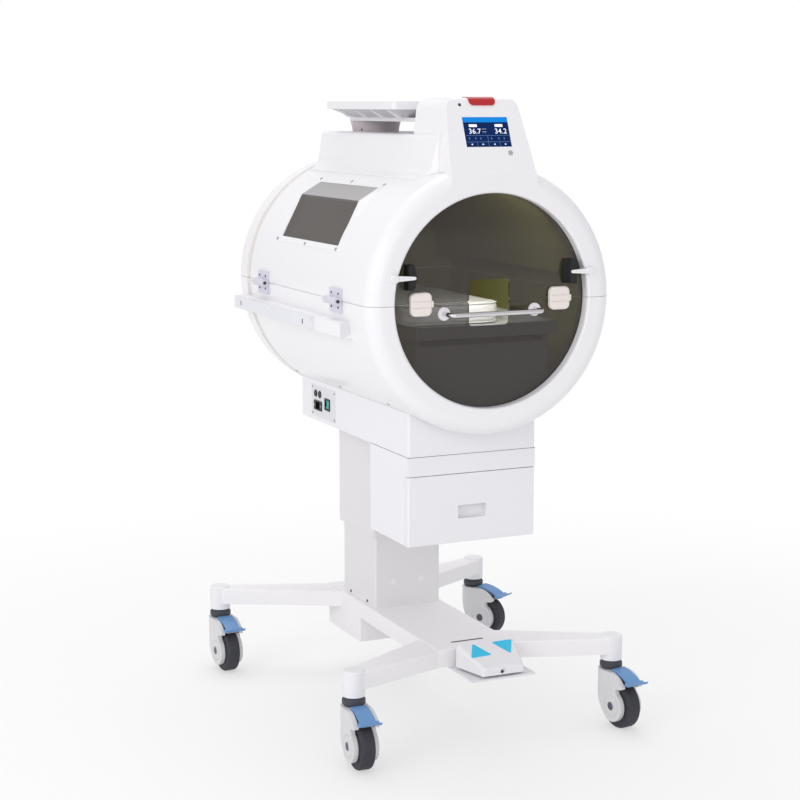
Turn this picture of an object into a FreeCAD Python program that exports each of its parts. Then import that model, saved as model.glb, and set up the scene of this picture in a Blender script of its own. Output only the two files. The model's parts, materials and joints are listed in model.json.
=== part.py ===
import FreeCAD, Part
import math
import os

# Infant phototherapy unit on a wheeled lifting stand. Sizes are in millimetres.
# While it is modelled, Y = 0 is the front face of the barrel's ring, +Y runs to the back,
# X = 0 is the plane that splits the unit into left and right, and Z = 0 is the floor.

V = FreeCAD.Vector
UP = V(0, 0, 1)
BACK = V(0, 1, 0)
RIGHT = V(1, 0, 0)
SIDES = (-1, 1)

# Clearances
seat_gap = 0.2
running_gap = 0.3
pin_gap = 0.08
glide_gap = 0.1

# Barrel: two half shells around one axis that runs front to back
barrel_axis_z = 920.0
barrel_r = 272.0
barrel_wall = 5.0
barrel_len = 760.0
barrel_top_z = barrel_axis_z + barrel_r
ring_width = 57.0
ring_opening_r = barrel_r - ring_width
ring_lip_len = 40.0
ring_lip_round = 6.0
ring_round = 30.0
groove_from_back = 90.0
groove_y = barrel_len - groove_from_back
groove_width = 25.0
groove_depth = 3.5
rear_round = 30.0
seam_gap = 0.8

# Front windows: two half discs that share a rounded hand port
window_y = 21.0
window_thick = 5.0
window_gap = 0.7
port_half_w = 45.2
port_low = 49.5
port_high = 43.5
port_corner = 8.0
port_seam_round = 6.0

# Top housing: control tower at the front and the hump behind it
tower_face_z = barrel_top_z - 27.0
tower_top_z = barrel_top_z + 129.0
tower_lean_deg = 22.5
tower_back_y = 195.0
tower_base_half = 95.5
tower_top_half = 78.0
tower_corner_round = 24.0
tower_front_round = 12.0
tower_back_round = 18.0
housing_wall = 4.0
hump_top_z = barrel_top_z + 56.0
hump_top_half = 95.0
hump_waist_half = 104.0
hump_waist_z = barrel_top_z
skirt_half = 129.0
skirt_front_y = 107.0
hump_back_y = groove_y
hump_round = 8.0

# Screen and alarm lens on the tower
screen_w = 99.5
screen_h = 62.5
screen_z = barrel_top_z + 62.0
screen_thick = 2.0
screen_recess = 2.3
lens_half_w = 29.0
lens_low_z = tower_top_z - 15.0
lens_back_y = 92.0
lens_thick = 1.5

# Instrument shelf on the hump
pedestal_y = 585.0
pedestal_low_r = 51.0
pedestal_high_r = 57.0
pedestal_wall = 3.0
pedestal_height = 24.0
shelf_plate_thick = 8.5
shelf_plate_front_y = 225.0
shelf_half_w = 110.0
shelf_front_y = 245.0
shelf_back_y = 612.0
shelf_rim_h = 17.0
shelf_rim_wall = 4.0
shelf_recess = 8.0
shelf_lip = 8.0
shelf_slope_h = 17.0
shelf_slope_in = 45.0
shelf_wall = 3.0
shelf_rib_pitch = 88.0
shelf_rib_thick = 3.0

# Side windows in the hood, each bent along one fold; a corner line is given by how far it
# stands out from the barrel and by its angle above the barrel's side
side_window_front_y = 204.0
side_window_back_y = 520.0
side_window_top_out = 1.0
side_window_top_deg = 53.9
side_window_fold_out = 10.6
side_window_fold_deg = 43.6
side_window_low_out = -0.4
side_window_low_deg = 22.7
side_pad_margin = 22.0
pane_thick = 4.0

# Hood hinges at the left
hinge_ys = (161.0, 580.0)
hinge_axis_out = 11.0
hinge_leaf_w = 58.0
hinge_leaf_h = 25.0
hinge_leaf_thick = 4.5
knuckle_r = 8.0
knuckle_len = 62.0
knuckle_gap = 0.4
hinge_pin_r = 3.5
hinge_pin_proud = 2.0

# Accessory rail at the left
rail_height = 27.0
rail_thick = 10.0
rail_mid_z = barrel_axis_z - 54.5
pad_out = 17.0
pad_front_y = 103.0
pad_back_y = groove_y + 30.0
rail_front_y = 240.0
rail_back_y = pad_back_y + 5.0
pad_height = 34.0

# Inner canopy, lamps and reflectors
canopy_r = barrel_r - 43.0
canopy_wall = 3.0
canopy_front_y = 60.0
canopy_back_y = barrel_len - 65.0
canopy_low_deg = 10.0
reflector_r = barrel_r - 18.0
reflector_wall = 2.0
reflector_half_deg = 32.0
lamp_r = 8.0
lamp_ring_r = barrel_r - 31.0
lamp_angles = (-25.0, -15.0, -5.0, 5.0, 15.0, 25.0)
lamp_front_y = 80.0
lamp_back_y = barrel_len - 90.0
rib_thick = 6.0
rib_from_end = 20.0
lower_lamp_half_w = 150.0
lower_lamp_top_z = 830.0
lower_lamp_wall = 3.0
lower_lamp_pitch = 42.0
lower_lamp_count = 6
lower_lamp_z = lower_lamp_top_z - 22.0

# Bed: tray, mattress and the runners under them
runner_height = 15.7
runner_w = 10.0
runner_x = lower_lamp_half_w - runner_w
tray_half_w = 160.0
tray_floor = 4.0
tray_rim_h = 22.0
tray_rim_wall = 3.0
tray_back_y = barrel_len - 45.0
mattress_half_w = 122.0
mattress_thick = 48.0
mattress_front_y = 195.0
mattress_back_y = tray_back_y - 7.0
mattress_round = 10.0

# Bed handle
handle_half = 101.5
handle_z = barrel_axis_z - 21.5
handle_out = 39.5
handle_r = 5.0
handle_bend = 9.0
washer_r = 13.2
washer_thick = 3.5

# Turn latches on the lower window
latch_x = ring_opening_r - 60.0
latch_drop = 11.0
latch_w = 46.0
latch_h = 47.0
latch_round = 11.0
latch_thick = 9.5
latch_base_r = 12.0
latch_base_thick = 3.5
latch_tab = 3.5
latch_band_half = 6.5
latch_groove = 1.4

# Levers and stop pads that hold the upper window
stud_r = 2.8
lever_x = ring_opening_r + 3.0
lever_z = barrel_axis_z + 54.0
lever_len = 41.5
lever_head_r = 9.0
lever_tip_r = 3.2
lever_thick = 7.0
stop_x_out = ring_opening_r - 27.5
stop_base_w = 20.0
stop_front_w = 12.0
stop_bulge = 5.0
stop_half_h = 24.5
stop_proud = 1.5

# Housing under the barrel, and the cabinet with its drawer
body_half_w = 146.0
housing_front_y = 91.0
housing_back_y = groove_y + 11.0
housing_low_z = barrel_axis_z - barrel_r - 50.0
cabinet_back_y = 284.0
cabinet_low_z = housing_low_z - 186.0
cabinet_wall = 3.0
cabinet_seam = 0.3
drawer_top_z = housing_low_z - 41.5
drawer_seam = 1.5
drawer_face_thick = 12.0
drawer_box_half_w = body_half_w - 16.0
drawer_box_back_y = cabinet_back_y - 16.0
drawer_box_top_z = drawer_top_z - 16.5
drawer_box_wall = 2.5
drawer_slide_z = cabinet_low_z + 58.0
drawer_slide_h = 8.0
cup_half_w = 34.5
cup_low_z = cabinet_low_z + 48.0
cup_high_z = cup_low_z + 44.0
cup_depth = 14.0

# Socket panel on the housing's left side
panel_front_y = 477.0
panel_back_y = 620.0
panel_low_z = housing_low_z + 9.5
panel_high_z = panel_low_z + 71.5
panel_thick = 2.0
fuse_ys = (569.0, 593.0)
fuse_z = panel_low_z + 52.5
fuse_r = 6.5
inlet_y = 579.5
inlet_z = panel_low_z + 26.0
inlet_w = 46.0
inlet_h = 22.0
inlet_depth = 17.0
inlet_shroud_w = 24.5
inlet_shroud_h = 16.5
inlet_flange = 2.0
switch_y = 524.0
switch_z = panel_low_z + 35.5
switch_w = 30.0
switch_h = 27.0
rocker_w = 21.0
rocker_h = 20.0

# Lifting column
column_half_x = 80.0
column_front_y = 412.0
column_back_y = 593.0
column_wall = 4.0
column_top_z = 490.0
column_gap = 4.0
sleeve_wall = 4.0
sleeve_low_z = housing_low_z - 238.0
glide_height = 14.0
actuator_r = 26.0
actuator_bore_r = 13.0
actuator_top_z = 470.0
lift_rod_low_z = 335.0
crosshead_z = housing_low_z + 36.0
crosshead_thick = 6.0
crosshead_half = 16.0
crosshead_over = 12.0
lift_down = 130.0

# Base
beam_half_x = 88.0
beam_front_y = 67.0
beam_back_y = 669.0
beam_low_z = 155.0
beam_top_z = 192.0
beam_wall = 3.0
beam_slot_half = 38.0
beam_slot_y = 112.0
beam_slot_w = 7.0
beam_slot_depth = 1.5
power_box_front_y = 480.0
power_box_back_y = 666.0
power_box_low_z = 98.0
leg_top_z = 190.0
leg_wall = 3.0
front_leg_root = (67.0, 165.0)
rear_leg_root = (585.0, 669.0)

# Foot pedal
pedal_x = 10.0
pedal_back_y = 47.0
pedal_front_y = -38.0
pedal_low_z = 160.0
pedal_back_z = 206.0
pedal_front_z = 176.0
pedal_back_half = 67.0
pedal_front_half = 47.0
pedal_pin_r = 4.0
pedal_pin_z = 170.0
pedal_tab_half = 10.0
pedal_tab_thick = 3.0
bracket_thick = 4.0
bracket_back_y = 120.0
bracket_half = 62.0

# Casters
front_caster_x = 298.4
front_caster_y = 20.0
rear_caster_x = 332.5
rear_caster_y = 742.0
wheel_r = 50.0
wheel_w = 30.0
wheel_hub_half = 16.8
axle_r = 5.0
axle_cap_r = 9.0
axle_cap_thick = 2.0
caster_trail = 38.0
fork_half = 27.0
fork_slot_half = 17.5
fork_disc_r = 34.0
fork_top_z = 121.0
fork_crown_r = 23.0
fork_crown_z = 104.0
stem_r = 6.0
stem_top_z = 175.0
collar_r = 24.0
collar_top_z = 140.5
end_cap_r = 23.0
end_cap_top_z = 194.0
brake_half = 16.6
brake_thick = 4.0
brake_pin_r = 3.0
brake_pin = (-31.0, 113.0)
brake_lip_half = 23.0

front_left_turn_deg = -2.4
front_right_turn_deg = 6.0
rear_left_turn_deg = 2.3
rear_right_turn_deg = 30.0

casters = {
    "front_left": (-front_caster_x, front_caster_y, front_left_turn_deg),
    "front_right": (front_caster_x, front_caster_y, front_right_turn_deg),
    "rear_left": (-rear_caster_x, rear_caster_y, rear_left_turn_deg),
    "rear_right": (rear_caster_x, rear_caster_y, rear_right_turn_deg),
}

nodes = {}


def box(x0, x1, y0, y1, z0, z1):
    return Part.makeBox(x1 - x0, y1 - y0, z1 - z0, V(x0, y0, z0))


def rod(radius, start, end):
    run = end - start
    return Part.makeCylinder(radius, run.Length, start, run)


def fuse(first, *others):
    return first.multiFuse(list(others)).removeSplitter()


def edge_path(points):
    """Edges through points; a point given as (middle, end) makes an arc."""
    edges = []
    here = points[0]
    for step in points[1:]:
        if isinstance(step, tuple):
            middle, end = step
            edges.append(Part.Arc(here, middle, end).toShape())
            here = end
        else:
            edges.append(Part.LineSegment(here, step).toShape())
            here = step
    return edges


def face_of(points):
    """Flat face inside a closed path of lines and arcs."""
    edges = edge_path(points)
    last = points[-1][1] if isinstance(points[-1], tuple) else points[-1]
    if (last - points[0]).Length > 1e-7:
        edges.append(Part.LineSegment(last, points[0]).toShape())
    return Part.Face(Part.Wire(edges))


def corner_mid(centre, radius, degrees, axes):
    """Middle point of an arc about centre, in the plane of two axes."""
    turn = math.radians(degrees)
    return centre + axes[0] * (radius * math.cos(turn)) + axes[1] * (radius * math.sin(turn))


def extrude_x(points, x0, x1):
    """Prism along X from (y, z) points."""
    face = face_of([V(x0, y, z) for y, z in points])
    return face.extrude(V(x1 - x0, 0, 0))


def extrude_y(points, y0, y1):
    """Prism along Y from (x, z) points."""
    face = face_of([V(x, y0, z) for x, z in points])
    return face.extrude(V(0, y1 - y0, 0))


def extrude_z(points, z0, z1):
    """Prism along Z from (x, y) points."""
    face = face_of([V(x, y, z0) for x, y in points])
    return face.extrude(V(0, 0, z1 - z0))


def long_edges(shape, direction, test):
    """Straight edges along a direction whose middle passes a test."""
    found = []
    for edge in shape.Edges:
        if len(edge.Vertexes) < 2:
            continue
        run = edge.Vertexes[-1].Point - edge.Vertexes[0].Point
        middle = edge.CenterOfMass
        if run.Length > 1e-6 and run.cross(direction).Length < 1e-6 * run.Length and test(middle):
            found.append(edge)
    return found


def rounded_box(x0, x1, y0, y1, z0, z1, radius, axis):
    """Box with its four edges along one axis rounded."""
    solid = box(x0, x1, y0, y1, z0, z1)
    return solid.makeFillet(radius, long_edges(solid, axis, lambda middle: True))


def mirrored(shape):
    return shape.mirror(V(0, 0, 0), RIGHT)


def barrel_point(radius, y):
    """Point of the barrel's section: distance from its axis, and place along it."""
    return V(radius, y, barrel_axis_z)


def lathe(points):
    """Solid turned about the barrel's axis from section points."""
    face = face_of(points)
    return face.revolve(V(0, 0, barrel_axis_z), BACK, 360)


def barrel_arc(centre_r, centre_y, radius, degrees):
    return corner_mid(barrel_point(centre_r, centre_y), radius, degrees, (RIGHT, BACK))


def barrel_outer_path():
    """Outer line of the shells, from the ring's lip to the middle of the back."""
    p = barrel_point
    lip_r = ring_opening_r + ring_lip_round
    flat_r = barrel_r - ring_round
    groove_r = barrel_r - groove_depth
    cap_flat_r = barrel_r - rear_round
    cap_y = barrel_len - rear_round
    return [
        p(ring_opening_r, ring_lip_round),
        (barrel_arc(lip_r, ring_lip_round, ring_lip_round, 225), p(lip_r, 0)),
        p(flat_r, 0),
        (barrel_arc(flat_r, ring_round, ring_round, -45), p(barrel_r, ring_round)),
        p(barrel_r, groove_y),
        p(groove_r, groove_y),
        p(groove_r, groove_y + groove_width),
        p(barrel_r, groove_y + groove_width),
        p(barrel_r, cap_y),
        (barrel_arc(cap_flat_r, cap_y, rear_round, 45), p(cap_flat_r, barrel_len)),
        p(0, barrel_len),
    ]


def barrel_inner_path():
    """Inner line of the shells, from the middle of the back to the ring's lip."""
    p = barrel_point
    wall = barrel_wall
    lip_r = ring_opening_r + ring_lip_round
    flat_r = barrel_r - ring_round
    inner_r = barrel_r - wall
    neck_r = barrel_r - groove_depth - wall
    cap_flat_r = barrel_r - rear_round
    cap_y = barrel_len - rear_round
    return [
        p(0, barrel_len - wall),
        p(cap_flat_r, barrel_len - wall),
        (barrel_arc(cap_flat_r, cap_y, rear_round - wall, 45), p(inner_r, cap_y)),
        p(inner_r, groove_y + groove_width + wall),
        p(neck_r, groove_y + groove_width + wall),
        p(neck_r, groove_y - wall),
        p(inner_r, groove_y - wall),
        p(inner_r, ring_round),
        (barrel_arc(flat_r, ring_round, ring_round - wall, -45), p(flat_r, wall)),
        p(lip_r, wall),
        (barrel_arc(lip_r, ring_lip_round, ring_lip_round - wall, 225),
         p(ring_opening_r + wall, ring_lip_round)),
        p(ring_opening_r + wall, ring_lip_len),
        p(ring_opening_r, ring_lip_len),
    ]


def barrel_shell():
    return lathe(barrel_outer_path() + barrel_inner_path())


def barrel_solid(gap=0.0):
    """Everything inside the shells' outer line, grown by a gap."""
    outer = lathe(barrel_outer_path() + [barrel_point(0, 0)])
    if gap == 0.0:
        return outer
    grown = rod(barrel_r + gap, V(0, ring_round, barrel_axis_z),
                V(0, barrel_len - rear_round, barrel_axis_z))
    return fuse(outer, grown)


def half_space(upper):
    """Box that holds everything above or below the seam."""
    reach = barrel_r * 2
    back = barrel_len * 2
    if upper:
        return box(-reach, reach, -reach, back, barrel_axis_z + seam_gap / 2, barrel_axis_z + reach)
    return box(-reach, reach, -reach, back, 0, barrel_axis_z - seam_gap / 2)


def rail_pad():
    """Moulded boss on the left of the lower shell that carries the accessory rail."""
    out_x = barrel_r + pad_out
    low = rail_mid_z - pad_height / 2
    high = rail_mid_z + pad_height / 2
    block = box(-out_x, -barrel_r + 14, pad_front_y, pad_back_y, low, high)
    outer_edges = long_edges(block, BACK, lambda middle: middle.x < -out_x + 1)
    return block.makeFillet(pad_out / 3, outer_edges)


def lower_shell():
    shell = barrel_shell().common(half_space(False))
    inside = rod(barrel_r - barrel_wall / 2, V(0, 0, barrel_axis_z), V(0, barrel_len, barrel_axis_z))
    pad = rail_pad().cut(inside)
    nodes["lower_shell"] = fuse(shell, pad)


def around_barrel(out, degrees):
    """Point at a distance out from the barrel's skin, at an angle above its right side."""
    return corner_mid(V(0, 0, barrel_axis_z), barrel_r + out, degrees, (RIGHT, UP))


def side_polygon(grow_ends, lift):
    """Bent strip of the side window, as points on its outer face."""
    top = around_barrel(side_window_top_out, side_window_top_deg)
    fold = around_barrel(side_window_fold_out, side_window_fold_deg)
    low = around_barrel(side_window_low_out, side_window_low_deg)
    up_run = (top - fold).normalize()
    down_run = (low - fold).normalize()
    out = (fold - V(0, 0, barrel_axis_z)).normalize()
    top = top + up_run * grow_ends + out * lift
    low = low + down_run * grow_ends + out * lift
    return top, fold + out * lift, low


def side_strip(grow_ends, y0, y1, outer, inner):
    """Bent strip between two offsets of the side window's outer face."""
    a = side_polygon(grow_ends, outer)
    b = side_polygon(grow_ends, inner)
    points = [(p.x, p.z) for p in a] + [(p.x, p.z) for p in reversed(b)]
    return extrude_y(points, y0, y1)


def side_pad():
    """Flat-sided swelling of the hood around a side window, with its ends sloped off."""
    y0 = side_window_front_y - side_pad_margin
    y1 = side_window_back_y + side_pad_margin
    block = side_strip(12, y0, y1, 0, -26)
    out = (around_barrel(0, side_window_fold_deg) - V(0, 0, barrel_axis_z)).normalize()
    along = out.cross(BACK)
    for end_y, way in ((y0, -1), (y1, 1)):
        base = V(0, end_y, barrel_axis_z) + out * barrel_r - along * barrel_r
        slope = (out * 0.5 + BACK * (-way)).normalize()
        far = base + slope * 60
        wedge = face_of([base, far, far + BACK * (way * 120), base + BACK * (way * 60)])
        block = block.cut(wedge.extrude(along * (2 * barrel_r)))
    inner = rod(barrel_r - barrel_wall, V(0, 0, barrel_axis_z), V(0, barrel_len, barrel_axis_z))
    return block.cut(inner)


def hood_shell():
    shell = barrel_shell().common(half_space(True))
    pad = side_pad()
    shell = fuse(shell, pad, mirrored(pad))
    opening = side_strip(0, side_window_front_y, side_window_back_y, 20, -60)
    ledge = side_strip(8, side_window_front_y - 8, side_window_back_y + 8, -pane_thick, -30)
    for cutter in (opening, ledge):
        shell = shell.cut(cutter)
        shell = shell.cut(mirrored(cutter))
    nodes["hood_shell"] = shell.cut(stud_holes(lever_x, lever_z, -1, barrel_wall + 1))


def side_windows():
    """Both bent panes, seated behind the hood's skin."""
    pane = side_strip(8 - seat_gap, side_window_front_y - 8 + seat_gap, side_window_back_y + 8 - seat_gap,
                      -pane_thick - seat_gap, -2 * pane_thick)
    raised = side_strip(-seat_gap, side_window_front_y + seat_gap, side_window_back_y - seat_gap,
                        -0.5, -pane_thick - seat_gap)
    pane = fuse(pane, raised)
    nodes["side_windows"] = Part.makeCompound([pane, mirrored(pane)])


def ring_crown_z():
    """Height just above the ring's lip, where the tower's front starts."""
    return barrel_axis_z + ring_opening_r + ring_lip_round + 0.5


def tower_solid(inset):
    """Control tower: front outline and side outline crossed, and shrunk by an inset."""
    low_z = ring_crown_z()
    top_z = tower_top_z - inset
    slope = (tower_base_half - tower_top_half) / (tower_top_z - tower_face_z)
    low_half = tower_base_half + slope * (tower_face_z - low_z) - inset
    top_half = tower_top_half - inset
    front = extrude_y([(-low_half, low_z), (low_half, low_z), (top_half, top_z), (-top_half, top_z)],
                      -20, tower_back_y + 20)
    top_edges = long_edges(front, BACK, lambda middle: middle.z > top_z - 1)
    front = front.makeFillet(tower_corner_round - inset, top_edges)
    lean = math.tan(math.radians(tower_lean_deg))
    face_top_y = lean * (tower_top_z - tower_face_z) + inset
    side = extrude_x([(inset, low_z), (inset, tower_face_z), (face_top_y, top_z),
                      (tower_back_y - inset, top_z), (tower_back_y - inset, low_z)], -200, 200)
    front_edge = long_edges(side, RIGHT, lambda middle: middle.z > top_z - 1 and middle.y < face_top_y + 1)
    side = side.makeFillet(tower_front_round - inset, front_edge)
    back_edge = long_edges(side, RIGHT,
                           lambda middle: middle.z > top_z - 1 and middle.y > tower_back_y - inset - 1)
    side = side.makeFillet(tower_back_round - inset, back_edge)
    return front.common(side)


def hump_solid(inset):
    """Hump behind the tower with a flared skirt, shrunk by an inset."""
    low_z = ring_crown_z()
    top_z = hump_top_z - inset
    skirt_z = barrel_axis_z + math.sqrt(barrel_r ** 2 - skirt_half ** 2) + 3
    waist = V(hump_waist_half - inset, 0, hump_waist_z)
    knee = V((hump_waist_half + skirt_half) / 2 - 4 - inset, 0, hump_waist_z - 22)
    tip = V(skirt_half - inset, 0, skirt_z)
    right = [V(skirt_half - inset, 0, low_z), tip, (knee, waist), V(hump_top_half - inset, 0, top_z)]
    left_path = [V(-hump_top_half + inset, 0, top_z), V(-waist.x, 0, waist.z),
                 (V(-knee.x, 0, knee.z), V(-tip.x, 0, tip.z)), V(-skirt_half + inset, 0, low_z)]
    front_y = 40 + inset
    back_y = hump_back_y - inset
    prism = face_of(right + left_path).extrude(V(0, back_y - front_y, 0))
    prism.translate(V(0, front_y, 0))
    top_edges = long_edges(prism, BACK, lambda middle: middle.z > top_z - 1)
    prism = prism.makeFillet(hump_round - inset / 2, top_edges)
    wide = skirt_half + 1
    narrow = tower_base_half - inset
    plan = extrude_z([(-wide, back_y), (-wide, skirt_front_y + inset), (-narrow, skirt_front_y - 47 + inset),
                      (narrow, skirt_front_y - 47 + inset), (wide, skirt_front_y + inset), (wide, back_y)],
                     low_z, top_z + 1)
    return prism.common(plan)


def tower_face_y(z):
    return math.tan(math.radians(tower_lean_deg)) * (z - tower_face_z)


def on_tower_face(solid, z):
    """Tip a piece modelled on the plane Y = 0 about z so that it lies on the leaning face."""
    piece = solid.copy()
    piece.translate(V(0, tower_face_y(z), z))
    piece.rotate(V(0, tower_face_y(z), z), RIGHT, -tower_lean_deg)
    return piece


def screen_blank(grow, depth):
    half_w = screen_w / 2 + grow
    half_h = screen_h / 2 + grow
    return on_tower_face(box(-half_w, half_w, -20, depth, -half_h, half_h), screen_z)


def top_housing():
    outer = fuse(tower_solid(0), hump_solid(0))
    inner = fuse(tower_solid(housing_wall), hump_solid(housing_wall))
    cover = outer.cut(inner).cut(barrel_solid(seat_gap))
    cover = cover.cut(screen_blank(seat_gap, screen_recess))
    nodes["top_housing"] = cover


def display_screen():
    half_w = screen_w / 2
    half_h = screen_h / 2
    plate = box(-half_w, half_w, screen_recess - screen_thick, screen_recess, -half_h, half_h)
    nodes["display_screen"] = on_tower_face(plate, screen_z)


def alarm_lens():
    """Red lens that wraps the tower's top front edge."""
    round_low = 9.0
    block = box(-lens_half_w, lens_half_w, 0, lens_back_y, lens_low_z, tower_top_z + 10)
    low_edges = long_edges(block, BACK, lambda middle: middle.z < lens_low_z + 1)
    block = block.makeFillet(round_low, low_edges)
    skin = tower_solid(-lens_thick).cut(tower_solid(0))
    nodes["alarm_lens"] = skin.common(block)


def shelf_levels():
    plate_low = hump_top_z + pedestal_height
    plate_top = plate_low + shelf_plate_thick
    slope_top = plate_top + shelf_slope_h
    return plate_low, plate_top, slope_top, slope_top + shelf_rim_h


def shelf_pedestal():
    """Tapered foot of the shelf, hollow and open at the bottom."""
    z0 = hump_top_z
    outer = Part.makeCone(pedestal_low_r, pedestal_high_r, pedestal_height, V(0, pedestal_y, z0), UP)
    inner = Part.makeCone(pedestal_low_r - pedestal_wall, pedestal_high_r - pedestal_wall,
                          pedestal_height - pedestal_wall, V(0, pedestal_y, z0), UP)
    nodes["shelf_pedestal"] = outer.cut(inner)


def shelf_plate():
    """Flat plate on the pedestal, rounded at its back end."""
    plate_low, plate_top, _, _ = shelf_levels()
    half = pedestal_high_r + 1
    slab = box(-half, half, shelf_plate_front_y, pedestal_y, plate_low, plate_top)
    end = rod(half, V(0, pedestal_y, plate_low), V(0, pedestal_y, plate_top))
    nodes["shelf_plate"] = fuse(slab, end)


def shelf_slope(inset, z0, z1):
    """Upside-down pyramid between the shelf's foot and its rim."""
    def loop(grow, z):
        x = shelf_half_w - grow
        y0 = shelf_front_y + grow
        y1 = shelf_back_y - grow
        return Part.makePolygon([V(-x, y0, z), V(x, y0, z), V(x, y1, z), V(-x, y1, z), V(-x, y0, z)])
    return Part.makeLoft([loop(shelf_slope_in + inset, z0), loop(shelf_lip + inset, z1)], True)


def shelf_rib(y):
    """Web on the sloping underside, one triangle at each side."""
    _, plate_top, slope_top, _ = shelf_levels()
    foot = shelf_half_w - shelf_slope_in
    reach = shelf_half_w - shelf_lip
    webs = []
    for side in SIDES:
        points = [(side * (foot - 6), plate_top), (side * (foot + 14), plate_top),
                  (side * reach, slope_top - 2), (side * reach, slope_top + 1)]
        web = extrude_y(points, y - shelf_rib_thick / 2, y + shelf_rib_thick / 2)
        webs.append(web)
    return webs


def instrument_shelf():
    """Shallow tray with a recessed top and a ribbed, sloping underside."""
    _, plate_top, slope_top, top = shelf_levels()
    rim = rounded_box(-shelf_half_w, shelf_half_w, shelf_front_y, shelf_back_y, slope_top, top, 10.0, UP)
    outer_edges = [edge for edge in rim.Edges if abs(edge.CenterOfMass.z - top) < 0.01]
    rim = rim.makeFillet(1.5, outer_edges)
    wall = shelf_rim_wall
    recess = rounded_box(-shelf_half_w + wall, shelf_half_w - wall, shelf_front_y + wall, shelf_back_y - wall,
                         top - shelf_recess, top + 1, 6.0, UP)
    hollow = shelf_slope(shelf_wall, plate_top + shelf_wall, slope_top + 1)
    body = fuse(shelf_slope(0, plate_top, slope_top + 0.5), rim).cut(recess).cut(hollow)
    middle_y = (shelf_front_y + shelf_back_y) / 2
    count = int((shelf_back_y - shelf_front_y) / shelf_rib_pitch)
    webs = []
    for number in range(count):
        webs += shelf_rib(middle_y + (number - (count - 1) / 2) * shelf_rib_pitch)
    webs = [web.cut(hollow) for web in webs]
    nodes["instrument_shelf"] = fuse(body, *webs)


def hinge_axis():
    return V(-(barrel_r + hinge_axis_out), 0, barrel_axis_z)


def hinge_leaf(y, side):
    """Leaf of one hinge; side is 1 for the hood's leaf and -1 for the lower one."""
    face_x = -(barrel_r + hinge_leaf_thick)
    near = barrel_axis_z + side * (seam_gap / 2 + 0.2)
    far = barrel_axis_z + side * hinge_leaf_h
    low, high = min(near, far), max(near, far)
    leaf = box(face_x, -barrel_r + 6, y - hinge_leaf_w / 2, y + hinge_leaf_w / 2, low, high)
    corners = long_edges(leaf, RIGHT, lambda middle: abs(middle.z - far) < 1)
    leaf = leaf.makeFillet(4.0, corners)
    return leaf.cut(barrel_solid(0.02))


def knuckle(y0, y1, side):
    """Part of a hinge's barrel, with the web that joins it to its leaf."""
    axis = hinge_axis()
    turn = rod(knuckle_r, V(axis.x, y0, axis.z), V(axis.x, y1, axis.z))
    web_far = axis.z + side * knuckle_r
    low, high = min(axis.z + side * 1.0, web_far), max(axis.z + side * 1.0, web_far)
    web = box(axis.x, -(barrel_r + hinge_leaf_thick) + 1, y0, y1, low, high)
    return fuse(turn, web)


def hinges():
    """Two three-knuckle hinges; the lower leaves keep the pins, and each leaf is hollowed out
    around the other's knuckles."""
    axis = hinge_axis()
    third = knuckle_len / 3
    end = hinge_pin_proud + knuckle_gap
    lower, upper = [], []

    def room(y0, y1):
        return rod(knuckle_r + knuckle_gap, V(axis.x, y0, axis.z), V(axis.x, y1, axis.z))

    for y in hinge_ys:
        start = y - knuckle_len / 2
        ends = [knuckle(start, start + third, -1), knuckle(start + 2 * third, start + 3 * third, -1)]
        middle = knuckle(start + third + knuckle_gap, start + 2 * third - knuckle_gap, 1)
        pin = rod(hinge_pin_r, V(axis.x, start - hinge_pin_proud, axis.z),
                  V(axis.x, start + knuckle_len + hinge_pin_proud, axis.z))
        bore = rod(hinge_pin_r + pin_gap, V(axis.x, start, axis.z), V(axis.x, start + knuckle_len, axis.z))
        low_leaf = hinge_leaf(y, -1).cut(room(start + third, start + 2 * third))
        high_leaf = hinge_leaf(y, 1).cut(room(start - end, start + third + knuckle_gap))
        high_leaf = high_leaf.cut(room(start + 2 * third - knuckle_gap, start + knuckle_len + end))
        lower.append(fuse(low_leaf, *ends).cut(pin))
        lower.append(pin)
        upper.append(fuse(high_leaf, middle).cut(bore))
    nodes["hinge_leaves_lower"] = Part.makeCompound(lower)
    nodes["hinge_leaves_upper"] = Part.makeCompound(upper)


def port_blank():
    """Hand port shared by the two half discs, flared where they meet."""
    low = barrel_axis_z - port_low
    high = barrel_axis_z + port_high
    hole = rounded_box(-port_half_w, port_half_w, window_y - 5, window_y + window_thick + 5,
                       low, high, port_corner, BACK)
    r = port_seam_round
    back = r * math.sqrt(0.5)
    front_y = window_y - 5
    for side in SIDES:
        x = side * port_half_w
        tip = V(x + side * r, front_y, barrel_axis_z)
        low_mid = V(tip.x - side * back, front_y, barrel_axis_z - r + back)
        high_mid = V(tip.x - side * back, front_y, barrel_axis_z + r - back)
        flare = face_of([V(x - side, front_y, barrel_axis_z - r), V(x, front_y, barrel_axis_z - r),
                         (low_mid, tip), (high_mid, V(x, front_y, barrel_axis_z + r)),
                         V(x - side, front_y, barrel_axis_z + r)])
        hole = fuse(hole, flare.extrude(V(0, window_thick + 10, 0)))
    return hole


def stud_holes(x, z, y0, y1):
    """Holes for the turning studs at both sides."""
    return fuse(*[rod(stud_r + pin_gap, V(side * x, y0, z), V(side * x, y1, z)) for side in SIDES])


def front_windows():
    """Upper half disc fixed in the hood, and lower half disc that leaves with the bed."""
    disc_y = (V(0, window_y, barrel_axis_z), V(0, window_y + window_thick, barrel_axis_z))
    upper = rod(ring_opening_r - seat_gap, *disc_y).common(half_space(True))
    lower = rod(ring_opening_r - window_gap, *disc_y).common(half_space(False))
    port = port_blank()
    nodes["upper_window"] = upper.cut(port)
    pivots = stud_holes(latch_x, barrel_axis_z - latch_drop, window_y - 1, window_y + window_thick + 1)
    nodes["lower_window"] = lower.cut(port).cut(pivots)


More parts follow.
